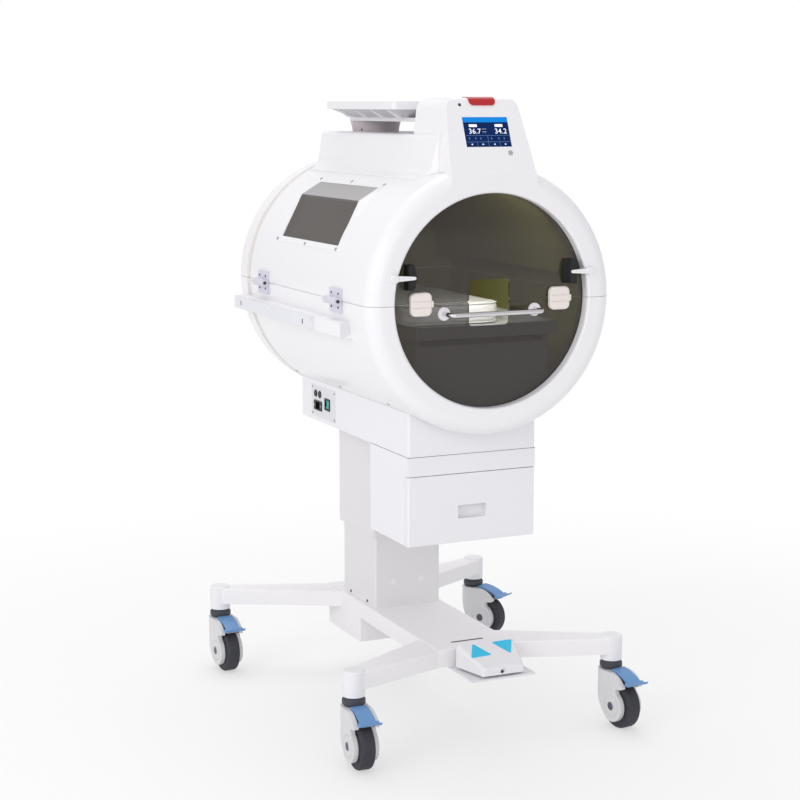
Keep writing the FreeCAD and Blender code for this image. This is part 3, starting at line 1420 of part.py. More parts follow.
def foot_pedal():
    """Rocking lift pedal on a pin, and the bracket that holds it under the beam."""
    back = pedal_back_y
    front = pedal_front_y
    low = pedal_low_z
    def section(y, half, top, corner):
        x0 = pedal_x - half
        x1 = pedal_x + half
        path = [V(x0, y, low), V(x0, y, top - corner),
                (corner_mid(V(x0 + corner, y, top - corner), corner, 135, (RIGHT, UP)), V(x0 + corner, y, top)),
                V(x1 - corner, y, top),
                (corner_mid(V(x1 - corner, y, top - corner), corner, 45, (RIGHT, UP)), V(x1, y, top - corner)),
                V(x1, y, low), V(x0, y, low)]
        return Part.Wire(edge_path(path))
    body = Part.makeLoft([section(back, pedal_back_half, pedal_back_z, 8),
                          section(front, pedal_front_half, pedal_front_z, 8)], True, True)
    front_edges = [edge for edge in body.Edges
                   if abs(edge.CenterOfMass.y - front) < 0.01 and edge.CenterOfMass.z > low + 1]
    body = body.makeFillet(5.0, front_edges)
    pin_back = V(pedal_x, back + 4, pedal_pin_z)
    pin_front = V(pedal_x, front - 1.5, pedal_pin_z)
    bore = rod(pedal_pin_r + pin_gap, V(pedal_x, back + 10, pedal_pin_z), V(pedal_x, front - 10, pedal_pin_z))
    nodes["foot_pedal"] = body.cut(bore)
    top = beam_low_z
    plate = box(-bracket_half, bracket_half + 2 * pedal_x, front - 1, bracket_back_y, top - bracket_thick, top)
    tab = box(pedal_x - pedal_tab_half, pedal_x + pedal_tab_half, back + 1, back + 1 + pedal_tab_thick,
              top - 1, pedal_pin_z + pedal_tab_half)
    pin = rod(pedal_pin_r, V(pedal_x, pin_back.y, pedal_pin_z), V(pedal_x, pin_front.y + 3, pedal_pin_z))
    nodes["pedal_bracket"] = fuse(plate, tab, pin)


def build():
    lower_shell()
    hood_shell()
    side_windows()
    top_housing()
    display_screen()
    alarm_lens()
    shelf_pedestal()
    shelf_plate()
    instrument_shelf()
    hinges()
    front_windows()
    bed()
    bed_runners()
    lower_lamps()
    upper_lamps()
    bed_handle()
    latches()
    levers()
    window_stops()
    side_rail()
    barrel_housing()
    socket_panel()
    panel_fittings()
    power_switch()
    cabinet_shell()
    drawer()
    lifting_column()
    lift_actuator()
    base_beam()
    power_box()
    legs()
    leg_end_caps()
    caster_collars()
    caster_set()
    foot_pedal()


def floor_centre():
    """Point on the floor under the middle of the whole unit's box."""
    whole = FreeCAD.BoundBox()
    for shape in nodes.values():
        whole.add(shape.optimalBoundingBox(False, False))
    return V((whole.XMin + whole.XMax) / 2, (whole.YMin + whole.YMax) / 2, whole.ZMin)


def export():
    os.makedirs("parts", exist_ok=True)
    centre = floor_centre()
    print("floor centre", centre)
    for name, shape in nodes.items():
        placed = shape.copy()
        placed.translate(centre * -1)
        placed.exportStep("parts/%s.step" % name)


build()
export()
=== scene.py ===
import bpy
import bmesh
import json
import math
from mathutils import Matrix, Vector


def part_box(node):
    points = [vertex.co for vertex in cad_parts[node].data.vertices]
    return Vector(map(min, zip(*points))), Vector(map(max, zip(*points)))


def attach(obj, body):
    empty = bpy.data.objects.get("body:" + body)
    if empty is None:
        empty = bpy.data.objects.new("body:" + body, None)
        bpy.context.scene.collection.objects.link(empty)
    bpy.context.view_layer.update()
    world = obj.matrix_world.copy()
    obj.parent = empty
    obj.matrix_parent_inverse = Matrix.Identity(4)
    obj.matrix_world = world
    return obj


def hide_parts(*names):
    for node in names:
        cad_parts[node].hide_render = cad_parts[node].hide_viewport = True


# Looks of the infant phototherapy unit. Lengths are in millimetres, measured as the model was
# drawn: X = 0 is the middle, Y = 0 the front face of the barrel's ring, Z = 0 the floor.
# place() turns them into the frame's metres. What is measured in metres instead says so.

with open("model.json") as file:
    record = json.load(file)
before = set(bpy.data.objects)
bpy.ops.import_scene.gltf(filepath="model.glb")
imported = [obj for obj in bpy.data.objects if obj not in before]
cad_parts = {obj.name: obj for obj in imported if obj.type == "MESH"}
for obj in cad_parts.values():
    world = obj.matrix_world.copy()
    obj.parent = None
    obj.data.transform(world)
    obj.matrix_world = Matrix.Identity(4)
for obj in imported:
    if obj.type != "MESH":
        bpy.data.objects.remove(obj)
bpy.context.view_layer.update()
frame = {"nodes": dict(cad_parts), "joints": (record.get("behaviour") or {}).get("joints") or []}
nodes = frame["nodes"]

hood_low, hood_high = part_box("hood_shell")
middle_x = (hood_low.x + hood_high.x) / 2
ring_y = hood_low.y

# Barrel
barrel_axis_z = 920.0
barrel_r = 272.0
barrel_wall = 5.0
barrel_len = 760.0
ring_width = 57.0
groove_front_y = 670.0
groove_back_y = 695.0
groove_depth = 3.5
rear_round = 30.0

# Windows
window_front_y = 21.0
window_thick = 5.0
side_window_fold_z = 1115.5

# Hinges and accessory rail
hinge_leaf_thick = 4.5
hinge_axis_x = -(barrel_r + 11.0)
hinge_pin_r = 3.5
hinge_ys = (161.0, 580.0)
pad_front_y = 103.0
pad_half_h = 17.0
rail_mid_z = barrel_axis_z - 54.5
rail_face_x = -(barrel_r + 27.0)
rail_slot_ys = (283.0, 662.0)
rail_slot_half_w = 2.4
rail_slot_half_h = 5.6

# Housing, column and base
body_half_w = 146.0
housing_front_y = 91.0
housing_low_z = 598.0
cabinet_back_y = 284.0
column_half_x = 80.0
column_front_y = 412.0
beam_top_z = 192.0
beam_slot_y = 112.0
beam_slot_half_len = 38.0
beam_slot_half_w = 3.5
beam_slot_depth = 1.5

# Casters
wheel_r = 50.0
rim_r = 35.0
axle_cap_r = 9.0
axle_cap_face = 29.0
shoe_high_z = 104.5

CASTERS = ("front_left", "front_right", "rear_left", "rear_right")
SIDES = (-1, 1)
SIDE_NAMES = ("left", "right")


def place(x, y, z):
    """Point of the frame, in metres, from drawing millimetres."""
    return Vector((middle_x + x / 1000, ring_y + y / 1000, z / 1000))


def from_place(point):
    """Drawing millimetres of a point in the frame."""
    return Vector(((point.x - middle_x) * 1000, (point.y - ring_y) * 1000, point.z * 1000))


# Camera

camera_place = (-1660.0, -3202.7, 1309.0)
camera_turn_deg = 24.422
camera_tilt_deg = 9.254
focal_px = 1818.14
image_px = 800
sensor_mm = 36.0
far_clip_m = 50


def make_camera():
    """Camera at the photograph's place and angle."""
    data = bpy.data.cameras.new("camera")
    data.sensor_width = sensor_mm
    data.lens = focal_px / image_px * sensor_mm
    data.clip_end = far_clip_m
    camera = bpy.data.objects.new("camera", data)
    bpy.context.collection.objects.link(camera)
    camera.location = place(*camera_place)
    camera.rotation_euler = (math.radians(90 - camera_tilt_deg), 0, -math.radians(camera_turn_deg))
    bpy.context.scene.camera = camera


# Materials

def new_material(name):
    """Empty node material with a Principled shader; returns the material and its parts."""
    material = bpy.data.materials.new(name)
    material.use_nodes = True
    tree = material.node_tree
    shader = tree.nodes["Principled BSDF"]
    return material, tree, shader


def add(tree, kind, **values):
    """Shader node with its settings."""
    node = tree.nodes.new(kind)
    for key, value in values.items():
        setattr(node, key, value)
    return node


def noise(tree, scale, detail=3.0, stretch=None):
    """Noise in object space; stretch squeezes it along an axis."""
    coords = add(tree, "ShaderNodeTexCoord")
    source = coords.outputs["Object"]
    if stretch:
        mapping = add(tree, "ShaderNodeMapping")
        mapping.inputs["Scale"].default_value = stretch
        tree.links.new(source, mapping.inputs["Vector"])
        source = mapping.outputs["Vector"]
    texture = add(tree, "ShaderNodeTexNoise")
    texture.inputs["Scale"].default_value = scale
    texture.inputs["Detail"].default_value = detail
    tree.links.new(source, texture.inputs["Vector"])
    return texture.outputs["Fac"]


def ramp(tree, value, low, high):
    """Maps a 0 to 1 value onto the range low to high."""
    node = add(tree, "ShaderNodeMapRange")
    node.inputs["To Min"].default_value = low
    node.inputs["To Max"].default_value = high
    tree.links.new(value, node.inputs["Value"])
    return node.outputs["Result"]


def shade(colour, factor):
    """Colour made lighter or darker by a factor."""
    return tuple(min(1.0, channel * factor) for channel in colour[:3]) + (1.0,)


def linear(red, green, blue):
    """Scene colour from an sRGB one given as 0 to 255, by the sRGB curve."""
    def channel(value):
        value = value / 255
        return value / 12.92 if value <= 0.04045 else ((value + 0.055) / 1.055) ** 2.4
    return (channel(red), channel(green), channel(blue), 1.0)


def mottled(tree, shader, colour, amount, scale):
    """Slight, broad colour variation."""
    mix = add(tree, "ShaderNodeMix", data_type="RGBA")
    mix.inputs["A"].default_value = shade(colour, 1 - amount)
    mix.inputs["B"].default_value = shade(colour, 1 + amount)
    tree.links.new(noise(tree, scale), mix.inputs["Factor"])
    tree.links.new(mix.outputs["Result"], shader.inputs["Base Color"])


def bumped(tree, shader, height, strength, distance):
    """Small relief of the surface; distance in metres."""
    bump = add(tree, "ShaderNodeBump")
    bump.inputs["Strength"].default_value = strength
    bump.inputs["Distance"].default_value = distance
    tree.links.new(height, bump.inputs["Height"])
    tree.links.new(bump.outputs["Normal"], shader.inputs["Normal"])


def moulded(name, colour, roughness, grain=900.0, grain_depth=0.00002, coat=0.0):
    """Moulded plastic or sprayed paint: faint grain, uneven gloss, slight mottling."""
    material, tree, shader = new_material(name)
    shader.inputs["IOR"].default_value = 1.45
    mottled(tree, shader, colour, 0.012, 6.0)
    tree.links.new(ramp(tree, noise(tree, 14.0, 5.0), roughness - 0.04, roughness + 0.05),
                   shader.inputs["Roughness"])
    bumped(tree, shader, noise(tree, grain, 2.0), 0.35, grain_depth)
    shader.inputs["Coat Weight"].default_value = coat
    shader.inputs["Coat Roughness"].default_value = 0.12
    return material


def metal(name, colour, roughness, stretch=None):
    """Bare metal, brushed along one axis where stretch is given."""
    material, tree, shader = new_material(name)
    shader.inputs["Metallic"].default_value = 1.0
    mottled(tree, shader, colour, 0.03, 20.0)
    brushed = noise(tree, 220.0, 6.0, stretch)
    tree.links.new(ramp(tree, brushed, roughness * 0.8, roughness * 1.25), shader.inputs["Roughness"])
    bumped(tree, shader, brushed, 0.3, 0.00001)
    return material


def smoked(name, colour, alpha, roughness=0.04):
    """Smoke-tinted sheet that shows what lies behind it dimly."""
    material, tree, shader = new_material(name)
    mottled(tree, shader, colour, 0.03, 3.0)
    shader.inputs["Roughness"].default_value = roughness
    shader.inputs["Alpha"].default_value = alpha
    shader.inputs["IOR"].default_value = 1.49
    return material


def rubber(name, colour):
    """Dull rubber with a fine grain."""
    material, tree, shader = new_material(name)
    mottled(tree, shader, colour, 0.1, 40.0)
    tree.links.new(ramp(tree, noise(tree, 60.0, 4.0), 0.55, 0.75), shader.inputs["Roughness"])
    bumped(tree, shader, noise(tree, 1500.0, 3.0), 0.5, 0.00004)
    return material


def woven(name, colour):
    """Coated cloth: two crossed thread waves under a soft sheen."""
    material, tree, shader = new_material(name)
    mottled(tree, shader, colour, 0.02, 9.0)
    coords = add(tree, "ShaderNodeTexCoord")
    threads = []
    for axis in ("X", "Y"):
        wave = add(tree, "ShaderNodeTexWave", bands_direction=axis)
        wave.inputs["Scale"].default_value = 260.0
        tree.links.new(coords.outputs["Object"], wave.inputs["Vector"])
        threads.append(wave.outputs["Fac"])
    weave = add(tree, "ShaderNodeMath", operation="MULTIPLY")
    tree.links.new(threads[0], weave.inputs[0])
    tree.links.new(threads[1], weave.inputs[1])
    bumped(tree, shader, weave.outputs["Value"], 0.4, 0.0002)
    shader.inputs["Roughness"].default_value = 0.72
    shader.inputs["Sheen Weight"].default_value = 0.25
    return material


def lit(name, colour, strength):
    """Glowing area of the display."""
    material, tree, shader = new_material(name)
    shader.inputs["Base Color"].default_value = shade(colour, 0.4)
    shader.inputs["Emission Color"].default_value = colour
    shader.inputs["Emission Strength"].default_value = strength
    shader.inputs["Roughness"].default_value = 0.35
    shader.inputs["IOR"].default_value = 1.2
    bumped(tree, shader, noise(tree, 1200.0, 1.0), 0.05, 0.00001)
    return material


looks = {
    "shell": moulded("shell_plastic", linear(242, 241, 243), 0.32, coat=0.25),
    "lining": moulded("lining_plastic", linear(176, 174, 116), 0.5),
    # Darker beige of the rear groove: painted shade in the recess.
    "groove": moulded("groove_shade_plastic", linear(224, 220, 214), 0.4),
    "housing": moulded("housing_plastic", linear(239, 238, 241), 0.38),
    "column": moulded("column_paint", linear(229, 227, 229), 0.42, grain=500.0, grain_depth=0.00004),
    "base": moulded("base_paint", linear(243, 241, 242), 0.42, grain=500.0, grain_depth=0.00004),
    "cap": moulded("cap_plastic", linear(236, 236, 238), 0.35),
    # Dark grey of painted shade: the strip in the housing's gap and the slot behind the pedal.
    "gap_shade": moulded("seam_shadow", linear(96, 94, 98), 0.6),
    "hinge": moulded("hinge_plastic", linear(214, 212, 224), 0.36),
    # Darker grey of the shelf's underside: painted shade where it faces away from the light.
    "under": moulded("underside_painted_shade", linear(204, 201, 206), 0.45),
    "shelf": moulded("shelf_plastic", linear(238, 238, 240), 0.4),
    "pedestal": moulded("pedestal_plastic", linear(200, 192, 194), 0.5),
    "latch": moulded("latch_plastic", linear(238, 230, 225), 0.4),
    "lever": moulded("lever_plastic", linear(238, 238, 240), 0.35),
    # Pale grey of the socket panel and pedal bracket; on the rail pad's front end it is painted shade.
    "panel": moulded("panel_plastic_and_pad_shade", linear(226, 226, 230), 0.5),
    # Black of the panel fittings; inside the rail's slots it is painted shade.
    "black": moulded("black_plastic_and_slot_shade", linear(26, 26, 28), 0.42),
    "switch": moulded("switch_plastic", linear(31, 160, 148), 0.28, coat=0.4),
    "red": moulded("lens_plastic", linear(184, 22, 30), 0.3, coat=0.2),
    "collar": moulded("collar_plastic", linear(66, 68, 76), 0.5),
    "caster": moulded("caster_plastic", linear(219, 218, 219), 0.4),
    "axle": moulded("axle_cap", linear(78, 82, 98), 0.4),
    "brake": moulded("brake_plastic", linear(104, 149, 199), 0.38),
    "shoe": moulded("shoe_plastic", linear(178, 174, 160), 0.55),
    "tray": moulded("tray_plastic", linear(224, 224, 222), 0.4),
    "canopy": moulded("canopy_plastic", linear(146, 143, 84), 0.5),
    "lamp": moulded("lamp_glass", linear(226, 232, 240), 0.2, coat=0.4),
    "button": moulded("button_plastic", linear(176, 176, 180), 0.35),
    "arrow": moulded("arrow_print", linear(46, 196, 236), 0.4),
    "pedal": moulded("pedal_plastic", linear(234, 233, 236), 0.45, grain=500.0, grain_depth=0.00005),
    "rail": moulded("rail_paint", linear(230, 231, 236), 0.35),
    "tyre": rubber("tyre_rubber", linear(50, 51, 58)),
    "stop": rubber("stop_rubber", linear(20, 19, 19)),
    "chrome": metal("chrome", linear(214, 212, 214), 0.08),
    "screw": metal("screw_steel", linear(170, 170, 174), 0.28),
    "dark_screw": metal("dark_screw_steel", linear(80, 78, 80), 0.35),
    "aluminium": metal("aluminium", linear(190, 190, 194), 0.35, stretch=(1, 30, 1)),
    "mirror": metal("reflector_metal", linear(205, 206, 210), 0.15),
    "window": smoked("front_window", linear(47, 40, 38), 0.84),
    "window_back": smoked("front_window_back", linear(47, 40, 38), 0.02),
    "side_window": smoked("side_window", linear(92, 86, 82), 0.66, roughness=0.08),
    # Lighter, less clear tint for the side windows' upper facets: a painted reflection of the light above.
    "side_window_reflection": smoked("side_window_reflection", linear(186, 184, 184), 0.8, roughness=0.3),
    "mattress": woven("mattress_cover", linear(220, 218, 218)),
    "navy": lit("screen_navy", linear(4, 38, 92), 0.62),
    "sky": lit("screen_sky", linear(14, 128, 214), 0.8),
    "white_light": lit("screen_white", linear(240, 244, 250), 0.9),
    "faint_light": lit("screen_faint", linear(96, 132, 178), 0.7),
}


def paint(node, look):
    """Gives a CAD node one look."""
    mesh = nodes[node].data
    mesh.materials.clear()
    mesh.materials.append(looks[look])


def paint_faces(node, look, test):
    """Gives the faces of a CAD node another look where a test of middle and normal passes."""
    mesh = nodes[node].data
    mesh.materials.append(looks[look])
    index = len(mesh.materials) - 1
    for face in mesh.polygons:
        if test(from_place(face.center), face.normal):
            face.material_index = index


def from_axis(point):
    """Distance of a point from the barrel's axis."""
    return math.hypot(point.x, point.z - barrel_axis_z)


def outward_share(point, normal):
    """Above zero where a face of the barrel looks away from its axis, below it where towards."""
    return normal.x * point.x + normal.z * (point.z - barrel_axis_z)


def inside_barrel(point, normal):
    """True on the inner skin of the shells, but not in the ring's opening."""
    inner_front_y = 24.0
    inner_back_y = barrel_len - 3
    rounded_from_y = barrel_len - rear_round - barrel_wall
    behind_ring_y = 60.0
    inner_r = barrel_r - barrel_wall
    opening_r = barrel_r - ring_width
    radius = from_axis(point)
    if not inner_front_y < point.y < inner_back_y or radius > inner_r + 0.3:
        return False
    if point.y < behind_ring_y and radius < opening_r + 2:
        return False
    if point.y < rounded_from_y or normal.y < -0.5:
        return True
    return outward_share(point, normal) < 0 and normal.y < 0.01


def in_groove(point, normal):
    """True on the shallow strip round the rear of the barrel, which gets a darker beige as painted shade."""
    in_length = groove_front_y < point.y < groove_back_y
    near_skin = from_axis(point) > barrel_r - groove_depth - 1
    return in_length and near_skin and outward_share(point, normal) > 0


def pad_front(point, normal):
    """True on the front end of the moulded pad that carries the rail, which gets a darker grey as painted
    shade.
    """
    at_height = abs(point.z - rail_mid_z) < pad_half_h + 1
    return point.x < -barrel_r + 1 and abs(point.y - pad_front_y) < 2 and at_height


def above_fold(point, normal):
    """True on the part of a side window that leans over the fold, which gets a painted reflection."""
    return point.z > side_window_fold_z


def window_back(point, normal):
    """True on the rear face of a front window."""
    return normal.y > 0.9 and point.y > window_front_y + window_thick - 1


def faces_down(point, normal):
    """True on faces that look downwards."""
    return normal.z < -0.3


def rail_slot(point, normal):
    """True inside the two slots near the rail's ends, which are painted black as shade."""
    at_end = min(abs(point.y - slot_y) for slot_y in rail_slot_ys) < rail_slot_half_w
    at_height = abs(point.z - rail_mid_z) < rail_slot_half_h
    return at_end and at_height and rail_face_x - 0.2 < point.x < rail_face_x + 3.5


def hinge_pin(point, normal):
    """True on the hinge pins."""
    return math.hypot(point.x - hinge_axis_x, point.z - barrel_axis_z) < hinge_pin_r + 0.1


def beam_slot(point, normal):
    """True on the walls and floor of the shallow slot behind the foot pedal, which get painted shade."""
    in_depth = beam_top_z - beam_slot_depth - 0.1 < point.z < beam_top_z - 0.1
    in_width = abs(point.y - beam_slot_y) < beam_slot_half_w + 0.2
    return in_depth and in_width and abs(point.x) < beam_slot_half_len + 0.2


plain_nodes = {
    "shell": ("lower_shell", "hood_shell", "top_housing"),
    "housing": ("barrel_housing", "cabinet_shell", "drawer_front", "drawer_box"),
    "column": ("column_sleeve", "inner_column"),
    "base": ("base_beam", "power_box", "legs"),
    "cap": ("leg_end_caps",),
    "shelf": ("shelf_plate", "instrument_shelf"),
    "pedestal": ("shelf_pedestal",),
    "latch": ("latch_left", "latch_right"),
    "lever": ("lever_left", "lever_right", "handle_mounts"),
    "panel": ("socket_panel", "pedal_bracket"),
    "black": ("panel_fittings",),
    "switch": ("power_switch",),
    "red": ("alarm_lens",),
    "collar": ("caster_collars",),
    "tray": ("bed_tray", "lower_lamp_box"),
    "canopy": ("inner_canopy",),
    "lamp": ("upper_lamps",),
    "pedal": ("foot_pedal",),
    "rail": ("side_rail",),
    "stop": ("window_stops",),
    "chrome": ("bed_handle",),
    "hinge": ("hinge_leaves_lower", "hinge_leaves_upper"),
    "aluminium": ("actuator_tube", "lift_rod", "bed_runners"),
    "mirror": ("upper_reflector",),
    "window": ("upper_window", "lower_window"),
    "side_window": ("side_windows",),
    "navy": ("display_screen",),
}


def paint_nodes():
    """Gives every CAD node its looks."""
    for look, names in plain_nodes.items():
        for name in names:
            paint(name, look)
    for name in ("lower_shell", "hood_shell"):
        paint_faces(name, "lining", inside_barrel)
        # Painted shade in the groove round the rear of the barrel.
        paint_faces(name, "groove", in_groove)
    # Painted shade on the front end of the rail's pad.
    paint_faces("lower_shell", "panel", pad_front)
    # Painted reflection on the side windows above the fold.
    paint_faces("side_windows", "side_window_reflection", above_fold)
    for name in ("upper_window", "lower_window"):
        paint_faces(name, "window_back", window_back)
    # The shelf's downward faces get painted shade.
    paint_faces("instrument_shelf", "under", faces_down)
    # Painted shade inside the rail's slots.
    paint_faces("side_rail", "black", rail_slot)
    # Painted shade on the walls and floor of the slot behind the pedal.
    paint_faces("base_beam", "gap_shade", beam_slot)
    paint_faces("hinge_leaves_lower", "dark_screw", hinge_pin)
    for name in CASTERS:
        paint_caster(name)


def caster_axle(name):
    """Middle of a caster's wheel in drawing millimetres."""
    low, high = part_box("caster_wheel_" + name)
    return from_place((low + high) / 2)


def stem_place(name):
    """Place of a caster's swivel in drawing millimetres."""
    for joint in frame["joints"]:
        if joint["name"] == "swivel_" + name:
            return from_place(Vector(joint["pos_m"]))


def paint_caster(name):
    """Fork with dark axle caps, brake with a pale shoe, tyre with a pale rim."""
    axle = caster_axle(name)
    stem = stem_place(name)
    trail = Vector((axle.x - stem.x, axle.y - stem.y, 0)).normalized()
    along_axle = Vector((-trail.y, trail.x, 0))
    cap_reach = math.hypot(axle_cap_face, axle_cap_r) + 0.2

    def rim(point, normal):
        return (point - axle).length < rim_r

    def shoe(point, normal):
        return point.z < shoe_high_z and (point - axle).length > wheel_r

    def axle_cap(point, normal):
        offset = point - axle
        return abs(offset.dot(along_axle)) > axle_cap_face - 0.1 and offset.length < cap_reach

    paint("caster_fork_" + name, "caster")
    paint_faces("caster_fork_" + name, "axle", axle_cap)
    paint("caster_brake_" + name, "brake")
    paint_faces("caster_brake_" + name, "shoe", shoe)
    paint("caster_wheel_" + name, "tyre")
    paint_faces("caster_wheel_" + name, "caster", rim)


# Building new pieces

def new_piece(name, mesh_builder, body, look, smooth=True):
    """Mesh piece from a bmesh builder that works in frame metres."""
    mesh = bpy.data.meshes.new(name)
    working = bmesh.new()
    mesh_builder(working)
    bmesh.ops.recalc_face_normals(working, faces=working.faces)
    working.to_mesh(mesh)
    working.free()
    for face in mesh.polygons:
        face.use_smooth = smooth
    mesh.materials.append(looks[look])
    piece = bpy.data.objects.new(name, mesh)
    bpy.context.collection.objects.link(piece)
    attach(piece, body)
    return piece


def facing(normal):
    """Rotation that takes +Z to a direction."""
    return Vector(normal).normalized().to_track_quat("Z", "Y").to_matrix()


def hex_outline(radius, angle):
    """Radius of a hexagonal recess at an angle."""
    turn = (angle % (math.pi / 3)) - math.pi / 6
    return radius * math.cos(math.pi / 6) / math.cos(turn)


def cross_outline(radius, angle):
    """Radius of a plus-shaped recess at an angle."""
    turn = abs((angle + math.pi / 4) % (math.pi / 2) - math.pi / 4)
    return radius if turn < 0.3 else radius * 0.36


def add_turned(working, point, normal, rings):
    """Capped stack of rings round a direction; a ring lists a radius and a height per corner."""
    turn = facing(normal)
    made = []
    for ring in rings:
        corners = []
        for i, (ring_radius, ring_height) in enumerate(ring):
            angle = 2 * math.pi * i / len(ring)
            local = Vector((math.cos(angle) * ring_radius, math.sin(angle) * ring_radius, ring_height))
            corners.append(working.verts.new(place(*(Vector(point) + turn @ local))))
        made.append(corners)
    for lower, upper in zip(made, made[1:]):
        for i in range(len(lower)):
            j = (i + 1) % len(lower)
            working.faces.new((lower[i], lower[j], upper[j], upper[i]))
    working.faces.new(made[-1])


def add_screw(working, point, normal, radius, drive):
    """Domed screw head with a hexagonal or crossed recess."""
    count = 24
    sunk = 0.3
    height = radius * 0.42
    outline = hex_outline if drive == "hex" else cross_outline
    profile = [(radius, -sunk), (radius, height * 0.35), (radius * 0.86, height * 0.8),
               (radius * 0.62, height)]
    rings = [[step] * count for step in profile]
    for recess_radius, recess_height in ((radius * 0.5, height), (radius * 0.47, height * 0.3)):
        rings.append([(outline(recess_radius, 2 * math.pi * i / count), recess_height) for i in range(count)])
    add_turned(working, point, normal, rings)


def screws(name, body, points, radius, look, drive="cross"):
    """One piece of several screw heads; points are (place, outward direction)."""
    def build(working):
        for point, normal in points:
            add_screw(working, point, normal, radius, drive)
    new_piece(name, build, body, look)


def add_disc(working, point, normal, radius, height, bevel):
    """Low button with a rounded edge."""
    count = 32
    sunk = 0.3
    profile = [(radius, -sunk), (radius, height - bevel), (radius - bevel * 0.3, height - bevel * 0.3),
               (radius - bevel, height)]
    add_turned(working, point, normal, [[step] * count for step in profile])


def add_block(working, x0, x1, y0, y1, z0, z1):
    """Box between two values along each axis."""
    corners = [working.verts.new(place(x, y, z)) for z in (z0, z1) for y in (y0, y1) for x in (x0, x1)]
    for face in ((0, 1, 3, 2), (4, 5, 7, 6), (0, 1, 5, 4), (2, 3, 7, 6), (0, 2, 6, 4), (1, 3, 7, 5)):
        working.faces.new([corners[i] for i in face])


def add_plate(working, corners, lift):
    """Thin raised plate: corners in drawing millimetres, lift along its own normal."""
    points = [Vector(corner) for corner in corners]
    normal = (points[1] - points[0]).cross(points[2] - points[0]).normalized()
    low = [working.verts.new(place(*p)) for p in points]
    high = [working.verts.new(place(*(p + normal * lift))) for p in points]
    working.faces.new(high)
    for i in range(len(points)):
        j = (i + 1) % len(points)
        working.faces.new((low[i], low[j], high[j], high[i]))


# Fasteners

def under_barrel(x, y):
    """Point on the barrel's skin below its axis at a given X, and its outward direction."""
    z = barrel_axis_z - math.sqrt(barrel_r ** 2 - x ** 2)
    outward = Vector((x, 0, z - barrel_axis_z)).normalized()
    return Vector((x, y, z)), outward


def side_window_screws():
    """Three screws above and three below each side window."""
    # Each row: X, height, direction outwards and upwards, places along the barrel
    rows = (
        (151.0, 1146.5, (0.5, 0.87), (197.0, 366.0, 538.0)),
        (254.2, 1018.0, (0.89, 0.45), (208.0, 379.0, 540.0)),
    )
    for side, name in zip(SIDES, SIDE_NAMES):
        points = []
        for x, z, (out, up), ys in rows:
            points += [((side * x, y, z), (side * out, 0, up)) for y in ys]
        screws("side_window_screws_" + name, "hood", points, 3.6, "screw", "hex")


def shell_screws():
    """Three screws on each side that hold the drum to its housing."""
    screw_x = 162.0
    screw_ys = (154.0, 411.0, 670.0)
    for side, name in zip(SIDES, SIDE_NAMES):
        points = [under_barrel(side * screw_x, y) for y in screw_ys]
        screws("shell_screws_" + name, "carriage", points, 3.8, "screw", "hex")


def hinge_screws():
    """Two screws in each leaf of both hinges."""
    leaf_face_x = -(barrel_r + hinge_leaf_thick)
    lower_leaf_z = 906.5
    upper_leaf_z = 934.5
    half_pitch = 18
    for y, name in zip(hinge_ys, ("front", "rear")):
        for body, z, level in (("carriage", lower_leaf_z, "lower"), ("hood", upper_leaf_z, "upper")):
            points = [((leaf_face_x, y + offset, z), (-1, 0, 0)) for offset in (-half_pitch, half_pitch)]
            screws("hinge_screws_%s_%s" % (name, level), body, points, 2.6, "dark_screw")


def panel_screws():
    """Screws in the socket panel's corners and beside its mains inlet."""
    corner_ys = (484.0, 613.0)
    corner_zs = (613.5, 673.0)
    inlet_y = 579.5
    inlet_z = 633.5
    half_pitch = 18
    left = (-1, 0, 0)
    points = [((-body_half_w, y, z), left) for y in corner_ys for z in corner_zs]
    screws("panel_screws", "carriage", points, 2.8, "screw")
    flange_x = -body_half_w - 2
    points = [((flange_x, inlet_y + offset, inlet_z), left) for offset in (-half_pitch, half_pitch)]
    screws("inlet_screws", "carriage", points, 2.4, "screw")


def column_fasteners():
    """Flat screw covers on the column's front and screws at its foot."""
    cover_x = 33.5
    cover_z = 250.0
    cover_proud = 0.07

    def build(working):
        for side in SIDES:
            point = (side * cover_x, column_front_y, cover_z)
            add_disc(working, point, (0, -1, 0), 6.5, cover_proud, 0.03)
    new_piece("column_screw_covers", build, "base", "cap")
    foot_ys = (455.0, 549.5)
    foot_z = 200.0
    points = [((side * column_half_x, y, foot_z), (side, 0, 0)) for side in SIDES for y in foot_ys]
    screws("column_foot_screws", "base", points, 3.4, "dark_screw", "hex")


def pedestal_screws():
    """Small screws round the foot of the shelf's pedestal and in the plate's edges."""
    pedestal = Vector((0, 585, 1252.5))
    foot_r = 51.8
    points = []
    for degrees in (30, 150, 210, 330):
        turn = math.radians(degrees)
        out = Vector((math.cos(turn), math.sin(turn), 0))
        points.append((pedestal + out * foot_r, out))
    screws("pedestal_screws", "hood", points, 2.4, "dark_screw")
    plate_half_w = 58.0
    plate_screw_y = 240.0
    plate_mid_z = 1276.0
    points = [((side * plate_half_w, plate_screw_y, plate_mid_z), (side, 0, 0)) for side in SIDES]
    screws("shelf_plate_screws", "hood", points, 2.2, "dark_screw")


def pedal_screw():
    """Screw in the foot pedal's front edge."""
    screw_x = 6.0
    screw_z = 166.5
    points = [((screw_x, pedal_front_y, screw_z), (0, -1, 0))]
    screws("pedal_screw", "foot_pedal", points, 3.6, "dark_screw", "hex")


